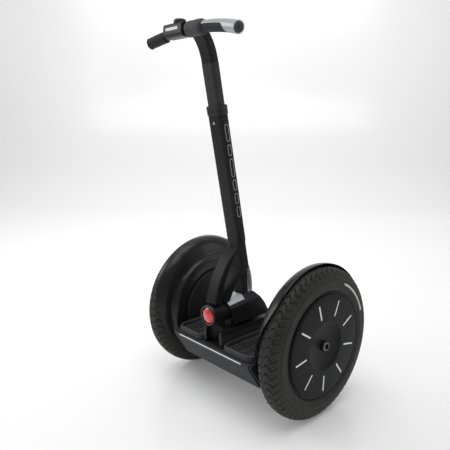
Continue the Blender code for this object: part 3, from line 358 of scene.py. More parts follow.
for side, tag in SIDES:
    hub = abs(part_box(tag + "_rim")[0][0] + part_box(tag + "_rim")[1][0]) / 2
    rim = [(0.1688, 0.0296), (0.1669, 0.0300), (0.1640, 0.0300), (0.1612, 0.0285), (0.1600, 0.0250), (0.1592, 0.0080),
           (0.1570, 0.0022), (0.1500, 0.0020), (0.0330, 0.0020), (0.0302, 0.0040), (0.0300, 0.0234), (0.0290, 0.0240),
           (0.0114, 0.0240), (0.0114, -0.0220), (0.0290, -0.0220), (0.0300, -0.0210), (0.0305, -0.0100),
           (0.0400, -0.0080), (0.1500, -0.0080), (0.1580, -0.0090), (0.1596, -0.0130), (0.1600, -0.0270),
           (0.1612, -0.0290), (0.1640, -0.0300), (0.1669, -0.0300), (0.1688, -0.0296)]
    rim = [(r, hub + h) for r, h in rim]
    piece_of(tag + "_rim_moulding", lathe(rim, 144, on_axle(side)), rim_plastic, tag + "_wheel", "grey_plastic",
             tag + "_rim", smooth=30)
    face = abs(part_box(tag + "_hub_cap")[1 if side > 0 else 0][0])
    foot = face - 0.0102
    cap = [(0.1655, foot), (0.1655, face - 0.0068), (0.1650, face - 0.0052), (0.1640, face - 0.0040),
           (0.1622, face - 0.0030), (0.1600, face - 0.0024), (0.1560, face - 0.0019), (0.1300, face - 0.0010),
           (0.1000, face - 0.0003), (0.0800, face), (0.0775, face - 0.0002), (0.0755, face - 0.0010),
           (0.0735, face - 0.0022), (0.0690, face - 0.0036), (0.0600, face - 0.0058), (0.0500, face - 0.0076),
           (0.0400, face - 0.0091), (0.0300, face - 0.0102), (0.0220, face - 0.0108), (0.0180, face - 0.0110),
           (0.0165, face - 0.0114), (0.0156, face - 0.0125), (0.0156, face - 0.0140), (0.0300, face - 0.0132),
           (0.0690, face - 0.0070), (0.1560, face - 0.0055), (0.1575, foot)]
    piece_of(tag + "_cap_disc", lathe(cap, 160, on_axle(side)), cap_plastic, tag + "_wheel", "black_plastic",
             tag + "_hub_cap", smooth=30)
    bars = bmesh.new()
    for k in range(BARS):
        turn = Matrix.Rotation(2 * pi * k / BARS - radians(3), 4, "Z") @ Matrix.Translation((BARS_AT, 0, face - 0.0012))
        bmesh.ops.create_cube(bars, size=1, matrix=on_axle(side) @ turn @ Matrix.Diagonal(BAR_SIZE))
    softened(piece_of(tag + "_cap_bars", built(bars, tag + "_bars"), silver, tag + "_wheel", "silver_trim",
                      tag + "_cap_trim"), 0.0008)
    end = abs(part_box(tag + "_axle_nut")[1 if side > 0 else 0][0])
    nut = [(0.0088, end - 0.0006), (0.0096, end), (0.0112, end - 0.0002), (0.0132, end - 0.0016),
           (0.0143, end - 0.0036), (0.0145, end - 0.0060), (0.0145, end - 0.0190), (0.0088, end - 0.0190)]
    piece_of(tag + "_nut_ring", lathe(nut, 72, on_axle(side)), nut_steel, tag + "_wheel", "steel", tag + "_axle_nut",
             smooth=30)
    # The socket's floor is painted near black: painted shade down in the hole.
    socket = [(0.0, end - 0.0065), (0.0089, end - 0.0065), (0.0089, end - 0.0150), (0.0, end - 0.0150)]
    piece_of(tag + "_nut_socket", lathe(socket, 6, on_axle(side)), seam_and_socket_shade, tag + "_wheel", "steel")


def repaint(material, *nodes):
    """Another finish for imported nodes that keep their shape."""
    for node in nodes:
        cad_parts[node].data.materials.clear()
        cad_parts[node].data.materials.append(material)


for side, tag in SIDES:
    repaint(dull_steel, *[tag + part for part in ("_output_shaft", "_output_gear", "_motor_pinion", "_motor")])

# ---------------------------------------------------------------- fenders
# One pressed shell over the inner half of each tyre: a flat inner ring, a rounded step, and a wide
# satin crown that rolls over the tread and draws in towards the front. Screwed to the gear case.

fender_skin = finish("fender_skin", (0.012, 0.012, 0.013), 0.33, grain=500, bump=0.04, patch=4, vary=0.10,
                     rough_vary=0.06, coat=0.2)
FENDER_STEPS = 120
FENDER_FROM, FENDER_SWEEP = -20, 220        # degrees above the front, and on over the top
outer_line = [(0.1395, 0.0100), (0.1450, 0.0092), (0.1700, 0.0092), (0.1760, 0.0100), (0.1815, 0.0124),
              (0.1850, 0.0160), (0.1872, 0.0215), (0.1885, 0.0268), (0.1925, 0.0292), (0.1980, 0.0304),
              (0.2080, 0.0322), (0.2180, 0.0350), (0.2270, 0.0389), (0.2350, 0.0440), (0.2415, 0.0500),
              (0.2462, 0.0560), (0.2490, 0.0620), (0.2505, 0.0690), (0.2512, 0.0770), (0.2514, 0.0835),
              (0.2508, 0.0847)]


def fender_wall(base):
    """The inside of the shell's section, drawn in from its outer line."""
    wall = []
    for r, x in outer_line[:-2]:
        thinner = min(1, max(0, (x - 0.016) / 0.03))
        deeper = 1 - min(1, max(0, (x - 0.02) / 0.05))
        wall.append((r - 0.0026 * thinner, base + x + 0.0024 * deeper))
    return wall


for side, tag in SIDES:
    base = abs(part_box(tag + "_gearbox_case")[0 if side > 0 else 1][0])
    line = [(r, base + x) for r, x in outer_line]
    inner = fender_wall(base)
    verts, faces, count = [], [], len(line) + len(inner)
    for i in range(FENDER_STEPS + 1):
        above = radians(FENDER_FROM + FENDER_SWEEP * i / FENDER_STEPS)
        reach = min(1.0, max(0.0, (above + 0.35) / 1.35))
        reach = 0.56 + 0.44 * reach * reach * (3 - 2 * reach)
        for row in (line, inner):
            step = np.linspace(0, 1, len(row))
            r, x = (np.interp(step * reach, step, [pair[k] for pair in row]) for k in (0, 1))
            ring = [(side * x[k], AXLE_Y - r[k] * cos(above), AXLE_Z + r[k] * sin(above)) for k in range(len(row))]
            verts += ring if row is line else ring[::-1]
    for i in range(FENDER_STEPS):
        for j in range(count):
            k = (j + 1) % count
            faces.append((i * count + j, (i + 1) * count + j, (i + 1) * count + k, i * count + k))
    faces += [tuple(range(count)), tuple(range(FENDER_STEPS * count, (FENDER_STEPS + 1) * count))]
    shell = bpy.data.meshes.new(tag + "_fender_shell")
    shell.from_pydata([tuple(map(float, v)) for v in verts], [], faces)
    tidy(shell)
    piece_of(tag + "_fender_shell", shell, fender_skin, "chassis", "black_plastic", tag + "_fender", smooth=32)

# ---------------------------------------------------------------- gear cases
# Painted drums between the deck and each wheel, with a bolted lid and a ring of screw heads.

LID_SCREWS = 8
case_paint = finish("case_paint", (0.016, 0.016, 0.017), 0.36, grain=350, bump=0.15, vary=0.15, worn=0.3)
for side, tag in SIDES:
    low = abs(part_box(tag + "_gearbox_case")[0 if side > 0 else 1][0])
    top = abs(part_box(tag + "_gearbox_case")[1 if side > 0 else 0][0])
    case = [(0.0, low), (0.1345, low), (0.1356, low + 0.0006), (0.1360, low + 0.0016), (0.1360, low + 0.0130),
            (0.1348, low + 0.0140), (0.1348, low + 0.0160), (0.1360, low + 0.0170), (0.1360, top), (0.1320, top),
            (0.1320, low + 0.0040), (0.0, low + 0.0040)]
    piece_of(tag + "_case_drum", lathe(case, 96, on_axle(side), closed=False), case_paint, "chassis", "black_paint",
             tag + "_gearbox_case", smooth=30)
    lid = [(0.0114, top + 0.0003), (0.1360, top + 0.0003), (0.1360, top + 0.0030), (0.1350, top + 0.0042),
           (0.1180, top + 0.0043), (0.1160, top + 0.0030), (0.0420, top + 0.0030), (0.0270, top + 0.0050),
           (0.0260, top + 0.0098), (0.0250, top + 0.0103), (0.0114, top + 0.0103)]
    piece_of(tag + "_lid_disc", lathe(lid, 96, on_axle(side)), case_paint, "chassis", "black_paint",
             tag + "_gearbox_lid", smooth=30)
    screws = bmesh.new()
    for k in range(LID_SCREWS):
        turn = Matrix.Rotation(2 * pi * (k + 0.5) / LID_SCREWS, 4, "Z") @ Matrix.Translation((0.1265, 0, top + 0.0045))
        bmesh.ops.create_cone(screws, segments=16, radius1=0.0040, radius2=0.0032, depth=0.0030, cap_ends=True,
                              matrix=on_axle(side) @ turn)
    piece_of(tag + "_lid_screws", built(screws, tag + "_screws"), dull_steel, "chassis", "steel")

# ---------------------------------------------------------------- chassis and its panels
# A painted box of folded sheet, closed at the front and the back by grained dark mouldings. A thin
# silver stripe runs along the top of the front one. Packs and boards are inside.


def outline_slab(outline, depth, place=Matrix.Identity(4)):
    """A flat outline drawn in local X and Y, thickened both ways along local Z."""
    bm = bmesh.new()
    ring = [bm.verts.new((x, y, -depth / 2)) for x, y in outline]
    face = bm.faces.new(ring)
    lifted = bmesh.ops.extrude_face_region(bm, geom=[face])
    bmesh.ops.translate(bm, vec=(0, 0, depth), verts=[v for v in lifted["geom"] if isinstance(v, bmesh.types.BMVert)])
    mesh = built(bm, "slab")
    tidy(mesh, place)
    return mesh


def rounded(corners, radius, steps=6):
    """An outline with arcs for corners; radius is one value or one for each."""
    radii = radius if isinstance(radius, (list, tuple)) else [radius] * len(corners)
    out = []
    for i, corner in enumerate(corners):
        spot = Vector(corner)
        before = Vector(corners[i - 1]) - spot
        after = Vector(corners[(i + 1) % len(corners)]) - spot
        if not radii[i]:
            out.append(tuple(spot))
            continue
        half = before.angle(after) / 2
        reach = min(radii[i] / tan(half), before.length * 0.49, after.length * 0.49)
        size = reach * tan(half)
        centre = spot + (before.normalized() + after.normalized()).normalized() * (size / sin(half))
        first = spot + before.normalized() * reach - centre
        last = spot + after.normalized() * reach - centre
        a0 = atan2(first.y, first.x)
        swing = (atan2(last.y, last.x) - a0 + pi) % (2 * pi) - pi
        out += [(centre.x + size * cos(a0 + swing * k / steps), centre.y + size * sin(a0 + swing * k / steps))
                for k in range(steps + 1)]
    return out


# Stands an outline of (y, z) points upright, y counted from the axle.
SIDE_ON = Matrix.Translation((0, AXLE_Y, 0)) @ Matrix.Rotation(pi / 2, 4, "Z") @ Matrix.Rotation(pi / 2, 4, "X")
chassis_paint = finish("chassis_paint", (0.015, 0.015, 0.016), 0.42, grain=300, bump=0.20, vary=0.2, worn=0.4)
fascia_plastic = finish("fascia_plastic", (0.034, 0.035, 0.038), 0.55, grain=420, bump=0.75, patch=5, vary=0.10)
repaint(chassis_paint, "chassis")
# Each moulding: its outer face, where its slanting foot ends, and the way to the middle.
for name, edge, foot, way in (("front_fascia", -0.2085, -0.1530, 1), ("rear_fascia", 0.1700, 0.1285, -1)):
    line = [(edge + 0.0012 * way, 0.2012), (edge, 0.1995), (edge, 0.1900), (foot, 0.1045), (foot + 0.004 * way, 0.1045),
            (edge + 0.0044 * way, 0.1895), (edge + 0.0044 * way, 0.2012)]
    panel = piece_of(name + "_panel", outline_slab(line, 0.360, SIDE_ON), fascia_plastic, "chassis", "grey_plastic",
                     name)
    softened(panel, 0.0010, 2)
stripe = rounded([(-0.150, -0.0020), (0.150, -0.0020), (0.150, 0.0020), (-0.150, 0.0020)], 0.0019)
stripe_low, stripe_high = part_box("front_stripe")
stripe_at = Matrix.Translation((0, stripe_high[1] - 0.0002, (stripe_low[2] + stripe_high[2]) / 2)) @ \
    Matrix.Rotation(pi / 2, 4, "X")
reflector = finish("stripe_silver", (0.70, 0.71, 0.72), 0.35, grain=1800, bump=0.3, vary=0.05)
piece_of("stripe_strip", outline_slab(stripe, 0.0024, stripe_at), reflector, "chassis", "silver_trim", "front_stripe")
for side, tag in SIDES:
    cheek = [(-0.2040, 0.2000), (-0.2040, 0.1880), (-0.1490, 0.1085), (0.1250, 0.1085), (0.1650, 0.1880),
             (0.1650, 0.2000)]
    mesh = outline_slab(cheek, 0.0030, Matrix.Translation((side * 0.1832, 0, 0)) @ SIDE_ON)
    softened(piece_of("chassis_cheek_" + tag, mesh, chassis_paint, "chassis", "black_paint"),
             0.0008, 2)

pack_skin = finish("pack_skin", (0.075, 0.075, 0.085), 0.55, grain=400, bump=0.3, vary=0.15)
board_resin = finish("board_resin", (0.02, 0.15, 0.07), 0.40, grain=900, bump=0.15, vary=0.2)
inner_plastic = finish("inner_plastic", (0.020, 0.020, 0.022), 0.45, grain=500, bump=0.2, vary=0.15)
repaint(pack_skin, "right_battery", "left_battery")
repaint(board_resin, "control_board")
repaint(inner_plastic, "balance_sensor", "right_rider_switch", "left_rider_switch")

# ---------------------------------------------------------------- foot mats
# Rubber trays laid on the deck, with a rounded raised lip and rows of ribs across the floor.

RIB_ROWS, RIB_COLUMNS, RIB_DEEP, RIB_TALL = 22, 3, 0.0062, 0.0040
mat_rubber = finish("mat_rubber", (0.022, 0.022, 0.024), 0.46, grain=700, bump=0.25, vary=0.18, worn=0.5, gloss=0.40)
for side, tag in SIDES:
    low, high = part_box(tag + "_mat")
    x0, x1, y0, y1, floor_z, lip_z = low[0], high[0], low[1], high[1], low[2] + 0.007, high[2]
    rings = []
    # Up the outside, over the rounded lip and down to the floor: how far in, and how high.
    for inset, z in ((0.0000, low[2]), (0.0000, lip_z - 0.0100), (0.0006, lip_z - 0.0058), (0.0022, lip_z - 0.0022),
                     (0.0044, lip_z - 0.0004), (0.0066, lip_z), (0.0088, lip_z - 0.0014), (0.0106, lip_z - 0.0050),
                     (0.0116, lip_z - 0.0100), (0.0126, floor_z + 0.0014), (0.0140, floor_z)):
        rings.append([(x, y, z) for x, y in rounded(
            [(x0 + inset, y0 + inset), (x1 - inset, y0 + inset), (x1 - inset, y1 - inset), (x0 + inset, y1 - inset)],
            0.030 - inset, 10)])
    count = len(rings[0])
    verts = [v for ring in rings for v in ring]
    faces = [(a * count + k, a * count + (k + 1) % count, (a + 1) * count + (k + 1) % count, (a + 1) * count + k)
             for a in range(len(rings) - 1) for k in range(count)]
    faces += [tuple(range((len(rings) - 1) * count, len(rings) * count)), tuple(range(count))]
    mesh = bpy.data.meshes.new(tag + "_tray")
    mesh.from_pydata(verts, [], faces)
    tidy(mesh)
    piece_of(tag + "_mat_tray", mesh, mat_rubber, "chassis", "mat_rubber", tag + "_mat", smooth=50)
    ribs = bmesh.new()
    for row in range(RIB_ROWS):
        y = y0 + 0.024 + (y1 - y0 - 0.048) * row / (RIB_ROWS - 1)
        for column in range(RIB_COLUMNS):
            wide = (x1 - x0 - 0.040) / RIB_COLUMNS
            x = x0 + 0.020 + wide * (column + 0.5)
            skip = 0.006 if row % 2 else 0.003
            stretch = Matrix.Diagonal((wide - skip, RIB_DEEP, RIB_TALL, 1))
            bmesh.ops.create_cube(ribs, size=1, matrix=Matrix.Translation((x, y, floor_z + 0.0016)) @ stretch)
    softened(piece_of(tag + "_mat_ribs", built(ribs, tag + "_ribs"), mat_rubber, "chassis", "mat_rubber"), 0.0009, 2)

# ---------------------------------------------------------------- console and lean pivot
# A moulded spine between the mats, hollowed at the front under the reflector. Two posts on it carry the
# steel shaft. The barrel, the cover with its pale blank cap, and the reflector lean with the column.

PIVOT_Z = 0.308                 # height of the lean axis
console_plastic = finish("console_plastic", (0.013, 0.013, 0.0145), 0.40, grain=450, bump=0.12, patch=6, vary=0.12,
                         worn=0.5)
low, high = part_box("console_base")
half, foot_z, top_z = high[0], low[2], 0.254
spine = rounded([(-0.190, foot_z), (0.120, foot_z), (0.090, top_z), (-0.190, top_z)], [0.001, 0.006, 0.020, 0.006], 6)


def cut(piece, mesh, operation="DIFFERENCE"):
    """Cuts a piece by a mesh that isn't kept."""
    tool = bpy.data.objects.new("tool", mesh)
    scene.collection.objects.link(tool)
    step = piece.modifiers.new("cut", "BOOLEAN")
    step.object = tool
    step.operation = operation
    step.solver = "EXACT"
    bpy.context.view_layer.update()
    ready = piece.evaluated_get(bpy.context.evaluated_depsgraph_get())
    made = bpy.data.meshes.new_from_object(ready)
    piece.modifiers.clear()
    piece.data = made
    bpy.data.objects.remove(tool)
    return piece


console = piece_of("console_spine", outline_slab(spine, 2 * half, SIDE_ON), console_plastic, "chassis",
                   "black_plastic", "console_base")
notch = rounded([(-0.031, -0.30), (0.031, -0.30), (0.031, -0.158), (-0.031, -0.158)], [0, 0, 0.022, 0.022], 8)
cut(console, outline_slab(notch, 0.20, Matrix.Translation((0, AXLE_Y, foot_z + 0.004 + 0.100))))
softened(console, 0.0032, 3, 30)
# Local Z forward along the lean axis.
along = Matrix.Translation((0, AXLE_Y, PIVOT_Z)) @ Matrix.Rotation(pi / 2, 4, "X")
for number, (y0, y1) in enumerate(((-0.122, -0.096), (-0.036, -0.013))):
    post = rounded([(-0.0155, top_z - 0.004), (0.0155, top_z - 0.004), (0.0155, 0.3235), (-0.0155, 0.3235)],
                   [0, 0, 0.012, 0.012], 8)
    stand_up = Matrix.Translation((0, AXLE_Y + (y0 + y1) / 2, 0)) @ Matrix.Rotation(pi / 2, 4, "X")
    softened(piece_of("console_post_%d" % number, outline_slab(post, y1 - y0, stand_up), console_plastic, "chassis",
                      "black_plastic"), 0.0010, 2)
repaint(dull_steel, "pivot_shaft")
repaint(mat_rubber, "centring_bush")

column_paint = finish("column_paint", (0.012, 0.012, 0.013), 0.40, grain=380, bump=0.12, patch=5, vary=0.12, worn=0.5,
                      gloss=0.16)
repaint(column_paint, "pivot_barrel")
sleeve = [(0.0325, 0.2050), (0.0331, 0.2040), (0.0333, 0.2020), (0.0333, 0.1290), (0.0328, 0.1280), (0.0320, 0.1280),
          (0.0320, 0.2050)]
piece_of("barrel_skin", lathe(sleeve, 96, along), column_paint, "lean_frame", "black_paint", smooth=30)

nose = -(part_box("nose_reflector_ring")[0][1] - AXLE_Y)
ring_line = [(0.0268, nose - 0.0072), (0.0272, nose - 0.0008), (0.0284, nose), (0.0302, nose),
             (0.0322, nose - 0.0010), (0.0336, nose - 0.0030), (0.0342, nose - 0.0055), (0.0342, nose - 0.0080),
             (0.0268, nose - 0.0080)]
ring_dark = finish("ring_dark", (0.055, 0.055, 0.058), 0.24, metallic=0.7, grain=900, bump=0.02, vary=0.05)
piece_of("nose_ring", lathe(ring_line, 96, along), ring_dark, "lean_frame", "silver_trim", "nose_reflector_ring",
         smooth=30)
lens_glass = finish("lens_glass", (0.62, 0.010, 0.014), 0.10, grain=300, bump=0.02, patch=70, vary=0.55, coat=1.0,
                    gloss=0.5)
lens = bmesh.new()
FACETS = 24
# Rings of the faceted glass, from its rim to its middle: (radius, height over the back).
lens_rings = [(0.0262, 0.0010), (0.0252, 0.0038), (0.0215, 0.0062), (0.0165, 0.0078), (0.0110, 0.0090),
              (0.0055, 0.0098)]
made_rings = []
for number, (r, h) in enumerate(lens_rings):
    turns = [pi / FACETS * (number % 2) + k * 2 * pi / FACETS for k in range(FACETS)]
    made_rings.append([lens.verts.new((r * cos(turn), r * sin(turn), nose - 0.0078 + h + 0.0004 * (k % 2)))
                       for k, turn in enumerate(turns)])
for number in range(len(made_rings) - 1):
    a, b = made_rings[number], made_rings[number + 1]
    for k in range(FACETS):
        after = (k + 1) % FACETS
        lens.faces.new((a[k], a[after], b[after if number % 2 else k]))
        lens.faces.new((a[k if number % 2 else after], b[after], b[k]))
lens.faces.new(made_rings[-1])
lens.faces.new(made_rings[0][::-1])
mesh = built(lens, "lens")
tidy(mesh, along)
piece_of("nose_lens", mesh, lens_glass, "lean_frame", "red_lens", "nose_reflector_lens", smooth=0)

cover_plastic = finish("cover_plastic", (0.018, 0.018, 0.020), 0.30, grain=500, bump=0.08, patch=8, vary=0.10, coat=0.2)
cover_line = rounded([(-0.1285, 0.2665), (0.0378, 0.2665), (0.0140, 0.3080), (-0.0270, 0.3560), (-0.1500, 0.3450)],
                     [0.002, 0.006, 0.020, 0.014, 0.012], 8)
cover = piece_of("cover_shell", outline_slab(cover_line, 0.082, SIDE_ON), cover_plastic, "lean_frame", "black_plastic",
                 "pivot_cover")
slope = atan2(0.0110, 0.1230)
# Local Y up and local Z forward, along the cover's sloping top.
shoulders = Matrix.Translation((0, AXLE_Y - 0.090, 0.3504)) @ Matrix.Rotation(slope + pi / 2, 4, "X")
section = [(-0.041, -0.120), (0.041, -0.120), (0.041, -0.022), (0.020, 0.0), (-0.020, 0.0), (-0.041, -0.022)]
cut(cover, outline_slab(section, 0.4, shoulders), "INTERSECT")
room = [(-0.1400, 0.2500), (0.0320, 0.2500), (0.0100, 0.3060), (-0.0020, 0.3210), (-0.1420, 0.3210)]
cut(cover, outline_slab(room, 0.076, SIDE_ON))
attic = [(-0.1420, 0.3000), (0.0050, 0.3000), (-0.0280, 0.3500), (-0.1420, 0.3410)]
cut(cover, outline_slab(attic, 0.040, SIDE_ON))
softened(cover, 0.0035, 3, 30)
panel_white = finish("panel_white", (0.62, 0.63, 0.66), 0.14, grain=900, bump=0.02, patch=10, vary=0.05, coat=0.8)
cap_line = rounded([(-0.0385, -0.0200), (-0.0205, 0.0006), (0.0205, 0.0006), (0.0385, -0.0200), (0.0372, -0.0212),
                    (0.0200, -0.0010), (-0.0200, -0.0010), (-0.0372, -0.0212)],
                   [0, 0.006, 0.006, 0, 0, 0.004, 0.004, 0], 6)
panel_at = shoulders @ Matrix.Translation((0, 0, 0.0215))
panel = piece_of("cover_panel", outline_slab(cap_line, 0.070, panel_at), panel_white, "lean_frame", "pale_panel",
                 "label_panel")
softened(panel, 0.0005, 2)

# ---------------------------------------------------------------- column
# A cast foot on two curved front legs and a rear strut, a long rounded tube, a clamping collar with one
# small bolt, and the sliding stem. Thin pale outlines run up the tube's left side.

LEAN = radians(11.5)
COLUMN_Y = -0.036               # where the column crosses the lean axis, counted from the axle
UP = Vector((0, -sin(LEAN), cos(LEAN)))
AHEAD = Vector((0, -cos(LEAN), -sin(LEAN)))
COLUMN_TURN = Matrix.Rotation(LEAN, 4, "X")


def on_column(height, ahead=0.0):
    """(y, z) at a distance up the column from the lean axis, and a distance ahead of it."""
    spot = Vector((0, COLUMN_Y, PIVOT_Z)) + UP * height + AHEAD * ahead
    return (spot.y, spot.z)


def band(line, widths):
    """The outline of a band along a line, as wide at each point as it says."""
    left, right = [], []
    for number, point in enumerate(line):
        way = (Vector(line[min(number + 1, len(line) - 1)]) - Vector(line[max(number - 1, 0)])).normalized()
        side_step = Vector((-way.y, way.x)) * widths[number] / 2
        left.append(tuple(Vector(point) + side_step))
        right.append(tuple(Vector(point) - side_step))
    return left + right[::-1]


def leg(top, foot, bulge, first, last, steps=18):
    """A curved leg that is first wide at its top and last wide at its foot."""
    line, sizes = [], []
    for number in range(steps + 1):
        t = number / steps
        line.append(tuple((1 - t) ** 2 * a + 2 * t * (1 - t) * b + t * t * c
                          for a, b, c in zip(top, bulge, foot)))
        sizes.append(first + (last - first) * t)
    return band(line, sizes)


FOOT_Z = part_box("frame_base")[0][2]
below_feet = [(-0.4, FOOT_Z), (0.4, FOOT_Z), (0.4, 0.2), (-0.4, 0.2)]
shapes = (("stub", [on_column(0.2305, 0.0178), on_column(0.128, 0.0178), on_column(0.128, -0.0178),
                    on_column(0.2305, -0.0178)], 0.0490),
          ("outer_leg", leg(on_column(0.214, 0.0098), (-0.1850, FOOT_Z), (-0.160, 0.462), 0.017, 0.030), 0.0490),
          ("inner_leg", leg(on_column(0.136, 0.0118), (-0.1480, FOOT_Z), (-0.118, 0.405), 0.016, 0.022), 0.0490),
          ("rear_strut", band([on_column(0.138, -0.001), (-0.0590, FOOT_Z + 0.035), (-0.0580, FOOT_Z + 0.001)],
                               (0.0245, 0.022, 0.025)), 0.0400))
for name, line, wide in shapes:
    nodes = ("frame_base",) if name == "stub" else ()
    body = piece_of("column_" + name, outline_slab(line, wide, SIDE_ON), column_paint, "lean_frame", "black_paint",
                    *nodes)
    if name.endswith("_leg"):
        cut(body, outline_slab(below_feet, 0.2, SIDE_ON))
    softened(body, 0.0030 if name == "rear_strut" else 0.0058, 4, 40)


def column_bar(name, a, b, corner, start, end, material, body, slot, *nodes, wall=0.0, edge=0.0):
    """A rounded rectangular bar or tube along the column."""
    line = rounded([(-a, -b), (a, -b), (a, b), (-a, b)], corner, 10)
    middle = Vector((0, AXLE_Y + COLUMN_Y, PIVOT_Z)) + UP * (start + end) / 2
    place = Matrix.Translation(middle) @ COLUMN_TURN
    piece = piece_of(name, outline_slab(line, end - start, place), material, body, slot, *nodes)
    if wall:
        hole = rounded([(wall - a, wall - b), (a - wall, wall - b), (a - wall, b - wall), (wall - a, b - wall)],
                       corner - wall, 10)
        cut(piece, outline_slab(hole, end - start + 0.02, place))
    if edge:
        softened(piece, edge, 3, 50)
    return piece


column_bar("column_tube", 0.0300, 0.0190, 0.012, 0.231, 0.640, column_paint, "lean_frame", "black_paint", "lower_tube",
           wall=0.0024, edge=0.0008)
collar_plastic = finish("collar_plastic", (0.022, 0.022, 0.024), 0.34, grain=500, bump=0.15, vary=0.12, worn=0.3)
column_bar("collar_ring", 0.0322, 0.0212, 0.0142, 0.6403, 0.668, collar_plastic, "lean_frame", "black_plastic",
           "height_collar", wall=0.0063, edge=0.0024)
column_bar("collar_seam", 0.0324, 0.0214, 0.0144, 0.6520, 0.6532, seam_and_socket_shade, "lean_frame", "black_plastic", wall=0.0030)
bolt_y, bolt_z = on_column(0.618, 0.0193)
bolt_at = Matrix.Translation((0, bolt_y + AXLE_Y, bolt_z)) @ COLUMN_TURN @ Matrix.Rotation(pi / 2, 4, "X")
bolt = [(0.0, 0.0012), (0.0018, 0.0012), (0.0020, 0.0028), (0.0034, 0.0026), (0.0042, 0.0016), (0.0042, 0), (0.0, 0)]
piece_of("collar_bolt", lathe(bolt, 32, bolt_at, closed=False), bright_steel, "lean_frame", "steel", "clamp_bolt",
         smooth=30)

outline_paint = finish("outline_paint", (0.52, 0.53, 0.54), 0.40, grain=1500, bump=0.05, vary=0.08)
marks = bmesh.new()
# Each outline: where it starts and stops along the column.
for start, stop in ((0.318, 0.352), (0.362, 0.396), (0.406, 0.440), (0.450, 0.506), (0.516, 0.550), (0.560, 0.612)):
    spots = []
    for inset in (0.0, 0.0012):
        half = 0.0072 - inset
        ring = rounded([(-half, start + inset), (half, start + inset), (half, stop - inset), (-half, stop - inset)],
                       half - 0.0001, 8)
        made = []
        for b, h in ring:
            y, z = on_column(h, b)
            made.append(marks.verts.new((0.0301, y + AXLE_Y, z)))
        spots.append(made)
    total = len(spots[0])
    for k in range(total):
        marks.faces.new((spots[0][k], spots[0][(k + 1) % total], spots[1][(k + 1) % total], spots[1][k]))
mesh = built(marks, "marks")
tidy(mesh)
outlines = piece_of("column_outlines", mesh, outline_paint, "lean_frame", "black_paint", smooth=0)
skin = outlines.modifiers.new("thickness", "SOLIDIFY")
skin.thickness = 0.0004
skin.offset = 0

column_bar("stem_tube", 0.0262, 0.0155, 0.010, 0.360, 0.790, column_paint, "handlebar", "black_paint", "sliding_stem",
           wall=0.0022)

# ---------------------------------------------------------------- handlebar
# The stem's head bends forward and grips a swept round bar in a rubber boot. The right grip is dark with
# a grey patch and sits outside the controller dock, the left one is half silver shell and half rubber.

BAR_Y, BAR_Z = -0.248, 1.171
BAR_END = 0.191
control = (on_column(0.7903), on_column(0.826), on_column(0.850, 0.006), (BAR_Y + 0.012, BAR_Z - 0.004))
bend_line = [on_column(0.740), on_column(0.770)]
for number in range(15):
    t = number / 14
    shares = [(1 - t) ** 3, 3 * t * (1 - t) ** 2, 3 * t * t * (1 - t), t ** 3]
    bend_line.append(tuple(sum(share * point[axis] for share, point in zip(shares, control)) for axis in range(2)))
head = piece_of("head_bend", outline_slab(band(bend_line, [0.0288] * len(bend_line)), 0.0500, SIDE_ON), column_paint,
                "handlebar", "black_paint", "stem_head")
softened(head, 0.0080, 5, 40)
boot_rubber = finish("boot_rubber", (0.060, 0.061, 0.064), 0.60, grain=600, bump=0.20, vary=0.12)
grip_rubber = finish("grip_rubber", (0.018, 0.018, 0.020), 0.58, grain=650, bump=0.35, vary=0.15, worn=0.3)
bar_paint = finish("bar_paint", (0.012, 0.012, 0.013), 0.28, grain=400, bump=0.06, vary=0.1, coat=0.2)


def bar_point(x, sweep=0.019, drop=0.024):
    """The middle of the swept and drooped bar at x."""
    share = (x / BAR_END) ** 2
    return Vector((x, BAR_Y - sweep * share + AXLE_Y, BAR_Z - drop * share))


def on_bar(stations, around=40, keep_angles=None):
    """A skin along the bar: stations of (x, radius). keep_angles(x) limits it to part of the turn."""
    verts, faces = [], []
    wide = around + (1 if keep_angles else 0)
    for x, r in stations:
        spot = bar_point(x)
        way = (bar_point(x + 0.001) - bar_point(x - 0.001)).normalized()
        up = Vector((0, 0, 1))
        across = way.cross(up).normalized()
        up = across.cross(way).normalized()
        a0, a1 = keep_angles(x) if keep_angles else (0, 2 * pi)
        for k in range(wide):
            a = a0 + (a1 - a0) * k / around
            verts.append(spot + across * (r * cos(a)) + up * (r * sin(a)))
    for i in range(len(stations) - 1):
        for k in range(around):
            faces.append((i * wide + k, (i + 1) * wide + k, (i + 1) * wide + (k + 1) % wide, i * wide + (k + 1) % wide))
    mesh = bpy.data.meshes.new("skin")
    mesh.from_pydata([tuple(v) for v in verts], [], faces)
    tidy(mesh)
    return mesh


BAR_R, BORE_R, BAR_HALF = 0.0125, 0.0100, 0.180
places = [-BAR_HALF + 2 * BAR_HALF * k / 48 for k in range(49)]
bar = [(places[0], BORE_R)] + [(x, BAR_R) for x in places] + [(x, BORE_R)
                                                              for x in [places[-1], *places[::-1], places[0]]]
piece_of("bar_tube", on_bar(bar), bar_paint, "handlebar", "black_paint", "handlebar")
boot = [(-0.0275, 0.0126), (-0.0280, 0.0190), (-0.0262, 0.0212), (-0.0240, 0.0222), (-0.0150, 0.0226),
        (-0.0060, 0.0220), (0.0060, 0.0220), (0.0150, 0.0226), (0.0300, 0.0222), (0.0360, 0.0205), (0.0385, 0.0180),
        (0.0390, 0.0126)]
piece_of("head_boot", on_bar(boot, 56), boot_rubber, "handlebar", "grip_rubber", smooth=50)

